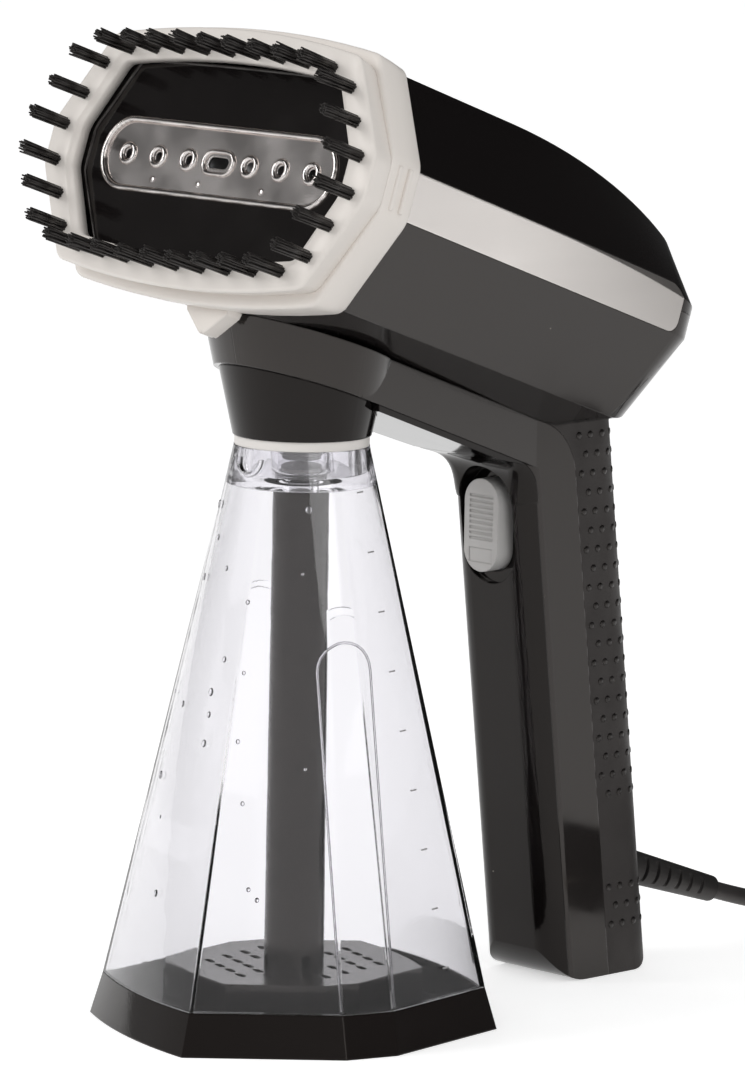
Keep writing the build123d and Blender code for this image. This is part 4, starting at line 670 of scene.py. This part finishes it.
def pattern_mesh(name, shape):
    """The bmesh as a mesh that can be stamped many times."""
    mesh = bpy.data.meshes.new(name)
    shape.to_mesh(mesh)
    shape.free()
    return mesh


def stamp(shape, pattern, place):
    """Adds a copy of the pattern mesh to the shape, at its place."""
    copy = pattern.copy()
    copy.transform(place)
    shape.from_mesh(copy)
    bpy.data.meshes.remove(copy)


def finished(name, shape):
    """The bmesh as an object, its faces outward and smooth."""
    bmesh.ops.recalc_face_normals(shape, faces=shape.faces)
    mesh = bpy.data.meshes.new(name)
    shape.to_mesh(mesh)
    shape.free()
    for face in mesh.polygons:
        face.use_smooth = True
    return bpy.data.objects.new(name, mesh)


def wire(name, runs, radius, closed=True, sides=3):
    """Round wires through the runs of points, as one mesh."""
    data = bpy.data.curves.new(name, "CURVE")
    data.dimensions = "3D"
    data.bevel_depth = radius
    data.bevel_resolution = sides
    data.use_fill_caps = True
    for run in runs:
        spline = data.splines.new("POLY")
        spline.points.add(len(run) - 1)
        for point, place in zip(spline.points, run):
            point.co = (*place, 1.0)
        spline.use_cyclic_u = closed
    curve = bpy.data.objects.new(name, data)
    mesh = bpy.data.meshes.new_from_object(curve)
    bpy.data.objects.remove(curve)
    bpy.data.curves.remove(data)
    for face in mesh.polygons:
        face.use_smooth = True
    mesh.materials.clear()
    return bpy.data.objects.new(name, mesh)


def stadium(length, height, steps=8):
    """Points round a slot shape that lies along its length."""
    radius = height / 2
    points = []
    for side in (1, -1):
        for step in range(steps + 1):
            angle = side * math.pi / 2 - step * math.pi / steps
            points.append((side * (length / 2 - radius) + radius * math.cos(angle), radius * math.sin(angle)))
    return points


def surface_tree(node_name):
    """A tree for casting rays onto a carried-over part."""
    node = NODES[node_name]
    shape = bmesh.new()
    shape.from_mesh(node.data)
    shape.transform(node.matrix_world)
    tree = BVHTree.FromBMesh(shape)
    shape.free()
    return tree


# ------------------------------------------------------------------ brush

class STEAMER_OT_brush(bpy.types.Operator):
    """Build the brush frame and the clip-on rim behind it with their rounded edges"""

    bl_idname = "steamer.brush"
    bl_label = "Build Brush"

    def execute(self, context):
        white = surface("brush frame", settings().brush_colour, gloss=(0.30, 0.40), grain=(1200, 0.00001),
                        shift=0.02)
        plate = swept("brush_plate", head_loops(FRAME_PROFILE))
        collar = swept("brush_collar", head_loops(RIM_PROFILE))
        link_piece(plate, "brush", white, ["brush_frame"])
        link_piece(collar, "brush", white, ["brush_rim"])
        link_piece(self.tab(), "brush", white, ())
        link_piece(self.ridges(), "brush", white, ())
        return {"FINISHED"}

    def tab(self):
        """Finger tab under the rim: a rounded triangle with a small notch at its tip."""
        shape = bmesh.new()
        face = shape.faces.new([shape.verts.new(place) for place in head_run(TAB_OUTLINE, TAB_DEPTH)])
        made = bmesh.ops.extrude_face_region(shape, geom=[face])
        moved = [item for item in made["geom"] if isinstance(item, bmesh.types.BMVert)]
        bmesh.ops.translate(shape, verts=moved, vec=HEAD_BACK * -TAB_THICKNESS * MM)
        bmesh.ops.bevel(shape, geom=shape.edges[:], offset=0.5 * MM, segments=3, profile=0.5, affect="EDGES",
                        material=-1)
        return finished("brush_tab", shape)

    def ridges(self):
        """Two clip ridges on each side of the rim."""
        shape = bmesh.new()
        for side in (1, -1):
            for depth in RIDGE_DEPTHS:
                place = Matrix.Translation(head_point(side * RIDGE_ACROSS, 0, depth))
                turn = Matrix.Rotation(-HEAD_TILT, 4, "X")
                made = bmesh.ops.create_cube(shape, size=1.0, matrix=place @ turn @ scaled(RIDGE_SIZE))
                edges = {edge for vert in made["verts"] for edge in vert.link_edges}
                bmesh.ops.bevel(shape, geom=list(edges), offset=0.6 * MM, segments=3, profile=0.5,
                                affect="EDGES", material=-1)
        return finished("clip_ridges", shape)


class STEAMER_OT_bristles(bpy.types.Operator):
    """Grow the bristle tufts as bundles of fine filaments"""

    bl_idname = "steamer.bristles"
    bl_label = "Grow Bristles"

    def execute(self, context):
        draw = random.Random(4)
        cone = bmesh.new()
        bmesh.ops.create_cone(cone, cap_ends=True, segments=6, radius1=FILAMENT_ROOT_R * MM,
                              radius2=FILAMENT_TIP_R * MM, depth=1.0)
        filament = pattern_mesh("filament", cone)
        shape = bmesh.new()
        for across, height in tuft_places():
            centre = Vector((across, height))
            for index in range(FILAMENTS):
                reach = TUFT_REACH * math.sqrt((index + 0.5) / FILAMENTS)
                turn = index * GOLDEN_ANGLE
                root = Vector((math.cos(turn), math.sin(turn))) * reach
                tip = centre + root * draw.uniform(1.0, 1.4)
                end = TUFT_END_DEPTH + draw.uniform(-0.3, 0.8)
                low = head_point(centre.x + root.x, centre.y + root.y, TUFT_ROOT_DEPTH)
                high = head_point(tip.x, tip.y, end)
                line = high - low
                drawn_out = Matrix.Diagonal((1, 1, line.length, 1))
                stamp(shape, filament, Matrix.Translation((low + high) / 2) @ facing(line) @ drawn_out)
        bpy.data.meshes.remove(filament)
        black = surface("bristles", (0.010, 0.009, 0.009), gloss=(0.22, 0.38), grain=(1500, 0.00001))
        link_piece(finished("bristles", shape), "brush", black, ["bristle_tufts"])
        return {"FINISHED"}


def tuft_places():
    """(across, height) of every tuft: the rows above and below and round both sides."""
    places = []
    for side in (1, -1):
        for index in range(ROW_TUFTS):
            across = (index - ROW_TUFTS // 2) * ROW_PITCH
            bow = ROW_BOW * (1 - (across / ROW_BOW_HALF) ** 2)
            places.append((across, side * (ROW_END_HEIGHT + bow)))
        for index in range(SIDE_TUFTS):
            places.append(along(SIDE_RUN, index / (SIDE_TUFTS - 1), side))
    return places


def along(run, share, side):
    """The point a share of the way along a run of points, mirrored for the other side."""
    left = share * sum((b - a).length for a, b in zip(run, run[1:]))
    for a, b in zip(run, run[1:]):
        length = (b - a).length
        if left <= length + 1e-9:
            point = a + (b - a) * (left / length)
            return (side * point.x, point.y)
        left -= length
    return (side * run[-1].x, run[-1].y)


# ------------------------------------------------------------------ steam face

class STEAMER_OT_face(bpy.types.Operator):
    """Raise the rims of the steam holes and the slot, and the step round the faceplate"""

    bl_idname = "steamer.face"
    bl_label = "Detail Steam Face"

    def execute(self, context):
        chrome = surface("steam rims", (0.62, 0.585, 0.57), gloss=(0.08, 0.14), metallic=1.0,
                         grain=(60, 0.00001), shift=0.03)
        rings = []
        for index in (-3, -2, -1, 1, 2, 3):
            middle = index * HOLE_PITCH
            circle = [(middle + HOLE_RIM_R * math.cos(t), HOLE_RIM_R * math.sin(t)) for t in turns(24)]
            rings.append(head_run(circle, HOLE_RIM_DEPTH))
        rims = wire("steam_rims", rings, HOLE_RIM_THICK * MM, sides=4)
        slot = wire("slot_rim", [head_run(stadium(*SLOT_RIM), SLOT_RIM_DEPTH)], SLOT_RIM_THICK * MM)
        border = head_run(stadium(*PLATE_EDGE, 16), FACE_FRONT_DEPTH)
        edge = wire("plate_edge", [border], PLATE_EDGE_THICK * MM)
        bumps = bmesh.new()
        flat = Matrix.Rotation(math.pi / 2 - HEAD_TILT, 4, "X") @ Matrix.Diagonal((1, 1, 0.25, 1))
        for across in BUMPS_ACROSS:
            place = Matrix.Translation(head_point(across, BUMP_HEIGHT, BUMP_DEPTH))
            bmesh.ops.create_uvsphere(bumps, u_segments=16, v_segments=8, radius=BUMP_R * MM,
                                      matrix=place @ flat)
        for piece in (rims, slot, edge, finished("plate_bumps", bumps)):
            link_piece(piece, "housing", chrome, ())
        black = surface("face steps", (0.008, 0.007, 0.007), gloss=(0.05, 0.1))
        ledge = head_run(bowed_octagon(*FACE_STEP), FACE_FRONT_DEPTH)
        step = wire("face_step", [ledge], FACE_STEP_THICK * MM)
        link_piece(step, "housing", black, ())
        return {"FINISHED"}


def turns(count):
    """Angles of a full turn in equal steps."""
    return [math.tau * step / count for step in range(count)]


# ------------------------------------------------------------------ tank

class STEAMER_OT_tank(bpy.types.Operator):
    """Add the tank's water level ticks, a clear strip round its finger groove for a painted highlight, and
    the drops left on it
    """

    bl_idname = "steamer.tank"
    bl_label = "Detail Tank"

    def execute(self, context):
        tree = surface_tree("tank_shell")
        clear = clear_plastic("tank trim", (0.96, 0.95, 0.97), 0.02, 1.40)
        ticks = bmesh.new()
        for index in range(TICK_COUNT):
            self.tick(ticks, tree, TICK_TOP - index * TICK_PITCH)
        mark = surface("tick marks", (0.42, 0.41, 0.42), gloss=(0.3, 0.4))
        link_piece(finished("level_ticks", ticks), "tank", mark, ())
        # painted highlight: a grey-violet tinted clear strip on the groove's edge stands in for the light
        # that edge catches
        highlight_strip = clear_plastic("groove highlight strip", (0.80, 0.79, 0.82), 0.02, 1.45)
        edge = wire("groove_highlight_strip", [self.groove_run(tree)], GROOVE_HIGHLIGHT_R * MM, closed=False)
        link_piece(edge, "tank", highlight_strip, ())
        link_piece(self.drops(tree), "tank", clear, ())
        return {"FINISHED"}

    def drops(self, tree):
        """Flattened drops scattered over the tank's front."""
        shape = bmesh.new()
        draw = random.Random(11)
        for _ in range(DROPS):
            angle = math.radians(draw.uniform(*DROP_ARC))
            height = draw.uniform(*DROP_HEIGHTS) * MM
            way = Vector((math.cos(angle), math.sin(angle), 0))
            spot, normal, _, _ = tree.ray_cast(Vector((0, 0, height)) + way * 0.2, -way)
            if spot is None:
                raise RuntimeError("no tank surface behind a drop")
            size = draw.uniform(*DROP_RADII) * MM
            place = Matrix.Translation(spot) @ facing(normal) @ Matrix.Diagonal((1, 1.15, 0.45, 1))
            bmesh.ops.create_uvsphere(shape, u_segments=14, v_segments=8, radius=size, matrix=place)
        return finished("water_drops", shape)

    def groove_run(self, tree):
        """Places up one edge of the finger groove, round its arch and down its other edge."""
        side = Vector((-GROOVE_WAY.y, GROOVE_WAY.x, 0))
        heights = range(GROOVE_FOOT, GROOVE_ARCH, GROOVE_STEP)
        outline = [(-GROOVE_HALF, height) for height in heights]
        for step in range(GROOVE_ARCH_STEPS + 1):
            angle = math.pi - step * math.pi / GROOVE_ARCH_STEPS
            outline.append((GROOVE_HALF * math.cos(angle), GROOVE_ARCH + GROOVE_HALF * math.sin(angle)))
        outline += [(GROOVE_HALF, height) for height in reversed(heights)]
        places = []
        for across, height in outline:
            start = GROOVE_WAY * 0.12 + side * across * MM + Vector((0, 0, height * MM))
            spot = tree.ray_cast(start, -GROOVE_WAY)[0]
            if spot is None:
                raise RuntimeError("no tank surface behind the groove's edge")
            places.append(spot)
        return places

    def tick(self, shape, tree, height):
        """One thin tick on the tank's right facet, beside the finger groove."""
        outside = Vector((RAY_START, TICK_LINE_FOOT - TICK_LINE_LEAN * height, height)) * MM
        spot, normal, _, _ = tree.ray_cast(outside, Vector((-1, 0, 0)))
        if spot is None:
            raise RuntimeError("no tank surface behind a tick")
        place = Matrix.Translation(spot) @ facing(normal)
        bmesh.ops.create_cube(shape, size=1.0, matrix=place @ scaled(TICK_SIZE))


# ------------------------------------------------------------------ grip

class STEAMER_OT_grip(bpy.types.Operator):
    """Set the grid of small raised dots on the rear grip"""

    bl_idname = "steamer.grip"
    bl_label = "Dot Grip"

    def execute(self, context):
        tree = surface_tree("rear_grip")
        ball = bmesh.new()
        bmesh.ops.create_uvsphere(ball, u_segments=10, v_segments=6, radius=DOT_RADIUS)
        bmesh.ops.scale(ball, verts=ball.verts, vec=(1, 1, DOT_FLATNESS))
        dot = pattern_mesh("dot", ball)
        shape = bmesh.new()
        for row in range(DOT_ROWS):
            height = DOT_TOP - row * DOT_PITCH
            if DOT_BARE[0] < height < DOT_BARE[1]:
                continue
            for column in range(-DOT_COLUMNS, DOT_COLUMNS + 1 - row % 2):
                turn = (column + 0.5 * (row % 2)) * DOT_STEP
                way = Vector((math.sin(turn), math.cos(turn), 0))
                centre = Vector((0, self.centre_line(height), height)) * MM
                spot, normal, _, _ = tree.ray_cast(centre + way * 0.08, -way)
                if spot is None:
                    continue  # past the grip's edge
                stamp(shape, dot, Matrix.Translation(spot) @ facing(normal))
        bpy.data.meshes.remove(dot)
        rubber = surface("grip dots", (0.007, 0.006, 0.006), gloss=(0.3, 0.4), grain=(1500, 0.00002))
        link_piece(finished("grip_dots", shape), "housing", rubber, ())
        return {"FINISHED"}

    def centre_line(self, height):
        """How far back the middle of the grip's rounding lies at a height, in millimetres."""
        return GRIP_CENTRE_FOOT - GRIP_LEAN * height


# ------------------------------------------------------------------ stage

def floor_material():
    """A pale floor that is white to the camera and keeps the object's shadow."""
    material, tree, shader, place = blank_material("floor")
    shade = varied_colour(tree, place, (0.9, 0.9, 0.9), 0.01, 2)
    link(tree, shade, shader.inputs["Base Color"])
    shader.inputs["Roughness"].default_value = 0.7
    shader.inputs["Emission Color"].default_value = (1, 1, 1, 1)
    light_path = tree.nodes.new("ShaderNodeLightPath")
    seen = tree.nodes.new("ShaderNodeMath")
    seen.operation = "MAXIMUM"
    clear = tree.nodes.new("ShaderNodeMath")
    clear.operation = "MAXIMUM"
    lift = tree.nodes.new("ShaderNodeMath")
    lift.operation = "MULTIPLY"
    lift.inputs[1].default_value = 0.52
    link(tree, light_path.outputs["Is Camera Ray"], seen.inputs[0])
    link(tree, light_path.outputs["Is Transmission Ray"], seen.inputs[1])
    link(tree, seen.outputs["Value"], clear.inputs[0])
    link(tree, light_path.outputs["Is Glossy Ray"], clear.inputs[1])
    link(tree, clear.outputs["Value"], lift.inputs[0])
    link(tree, lift.outputs["Value"], shader.inputs["Emission Strength"])
    return material


def build_world(scene):
    """A white room; what reflects sees it bright in the low front, and dim overhead and behind."""
    world = bpy.data.worlds.new("studio")
    scene.world = world
    world.use_nodes = True
    tree = world.node_tree
    backdrop = tree.nodes["Background"]
    light_path = tree.nodes.new("ShaderNodeLightPath")
    seen = tree.nodes.new("ShaderNodeMath")
    seen.operation = "MAXIMUM"
    link(tree, light_path.outputs["Is Camera Ray"], seen.inputs[0])
    link(tree, light_path.outputs["Is Transmission Ray"], seen.inputs[1])
    direction = tree.nodes.new("ShaderNodeTexCoord").outputs["Generated"]
    split = tree.nodes.new("ShaderNodeSeparateXYZ")
    link(tree, direction, split.inputs["Vector"])
    height = world_share(tree, split.outputs["Z"], (0.10, 0.45), (1.0, 0.10))
    front = world_share(tree, split.outputs["Y"], (-0.35, 0.35), (0.42, 0.08))
    both = tree.nodes.new("ShaderNodeMath")
    both.operation = "MULTIPLY"
    link(tree, height, both.inputs[0])
    link(tree, front, both.inputs[1])
    shown = tree.nodes.new("ShaderNodeMix")
    shown.data_type = "FLOAT"
    shown.inputs["A"].default_value = ROOM_LIGHT
    link(tree, light_path.outputs["Is Glossy Ray"], shown.inputs["Factor"])
    link(tree, both.outputs["Value"], shown.inputs["B"])
    final = tree.nodes.new("ShaderNodeMix")
    final.data_type = "FLOAT"
    final.inputs["B"].default_value = 1.0
    link(tree, seen.outputs["Value"], final.inputs["Factor"])
    link(tree, shown.outputs["Result"], final.inputs["A"])
    link(tree, final.outputs["Result"], backdrop.inputs["Strength"])
    backdrop.inputs["Color"].default_value = (1, 1, 1, 1)


def world_share(tree, value, given, wanted):
    """The value, mapped from one range to another."""
    node = tree.nodes.new("ShaderNodeMapRange")
    node.inputs["From Min"].default_value = given[0]
    node.inputs["From Max"].default_value = given[1]
    node.inputs["To Min"].default_value = wanted[0]
    node.inputs["To Max"].default_value = wanted[1]
    link(tree, value, node.inputs["Value"])
    return node.outputs["Result"]


def area_lamp(name, place, target, size, power):
    data = bpy.data.lights.new(name, "AREA")
    data.shape = "RECTANGLE"
    data.size = size[0]
    data.size_y = size[1]
    data.energy = power
    lamp = bpy.data.objects.new(name, data)
    bpy.context.scene.collection.objects.link(lamp)
    lamp.location = place
    lamp.rotation_euler = (Vector(target) - Vector(place)).to_track_quat("-Z", "Y").to_euler()
    return lamp


class STEAMER_OT_stage(bpy.types.Operator):
    """Set the pale floor, the white surroundings and the soft lamps"""

    bl_idname = "steamer.stage"
    bl_label = "Set Stage"

    def execute(self, context):
        mesh = bpy.data.meshes.new("floor")
        shape = bmesh.new()
        bmesh.ops.create_grid(shape, x_segments=8, y_segments=8, size=4.0)
        shape.to_mesh(mesh)
        shape.free()
        floor = bpy.data.objects.new("floor", mesh)
        context.scene.collection.objects.link(floor)
        floor.data.materials.append(floor_material())
        build_world(context.scene)
        area_lamp("key", (-0.9, -1.6, 1.15), (0, 0.03, 0.15), (0.9, 0.9), 13)
        area_lamp("fill", (1.8, -0.6, 0.9), (0, 0.03, 0.15), (1.0, 1.3), 8)
        context.scene.view_settings.view_transform = "Standard"
        return {"FINISHED"}


# ------------------------------------------------------------------ panel and registration

OPERATORS = [
    STEAMER_OT_camera, STEAMER_OT_cord, STEAMER_OT_finishes, STEAMER_OT_brush, STEAMER_OT_bristles,
    STEAMER_OT_face, STEAMER_OT_tank, STEAMER_OT_grip, STEAMER_OT_stage,
]


class STEAMER_PT_panel(bpy.types.Panel):
    """Lists the pieces of the steamer and the sizes and colours they use."""

    bl_idname = "STEAMER_PT_panel"
    bl_label = "Garment Steamer"
    bl_space_type = "VIEW_3D"
    bl_region_type = "UI"
    bl_category = "Steamer"

    def draw(self, context):
        for name in STEAMER_PG_settings.__annotations__:
            self.layout.prop(context.scene.steamer, name)
        for operator in OPERATORS:
            self.layout.operator(operator.bl_idname)


CLASSES = [STEAMER_PG_settings, *OPERATORS, STEAMER_PT_panel]


def register():
    for cls in CLASSES:
        bpy.utils.register_class(cls)
    bpy.types.Scene.steamer = bpy.props.PointerProperty(type=STEAMER_PG_settings)


def unregister():
    del bpy.types.Scene.steamer
    for cls in reversed(CLASSES):
        bpy.utils.unregister_class(cls)


def main():
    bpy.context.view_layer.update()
    register()
    bpy.ops.steamer.camera()
    bpy.ops.steamer.cord()
    bpy.ops.steamer.finishes()
    bpy.ops.steamer.brush()
    bpy.ops.steamer.bristles()
    bpy.ops.steamer.face()
    bpy.ops.steamer.tank()
    bpy.ops.steamer.grip()
    bpy.ops.steamer.stage()


if __name__ == "__main__":
    main()
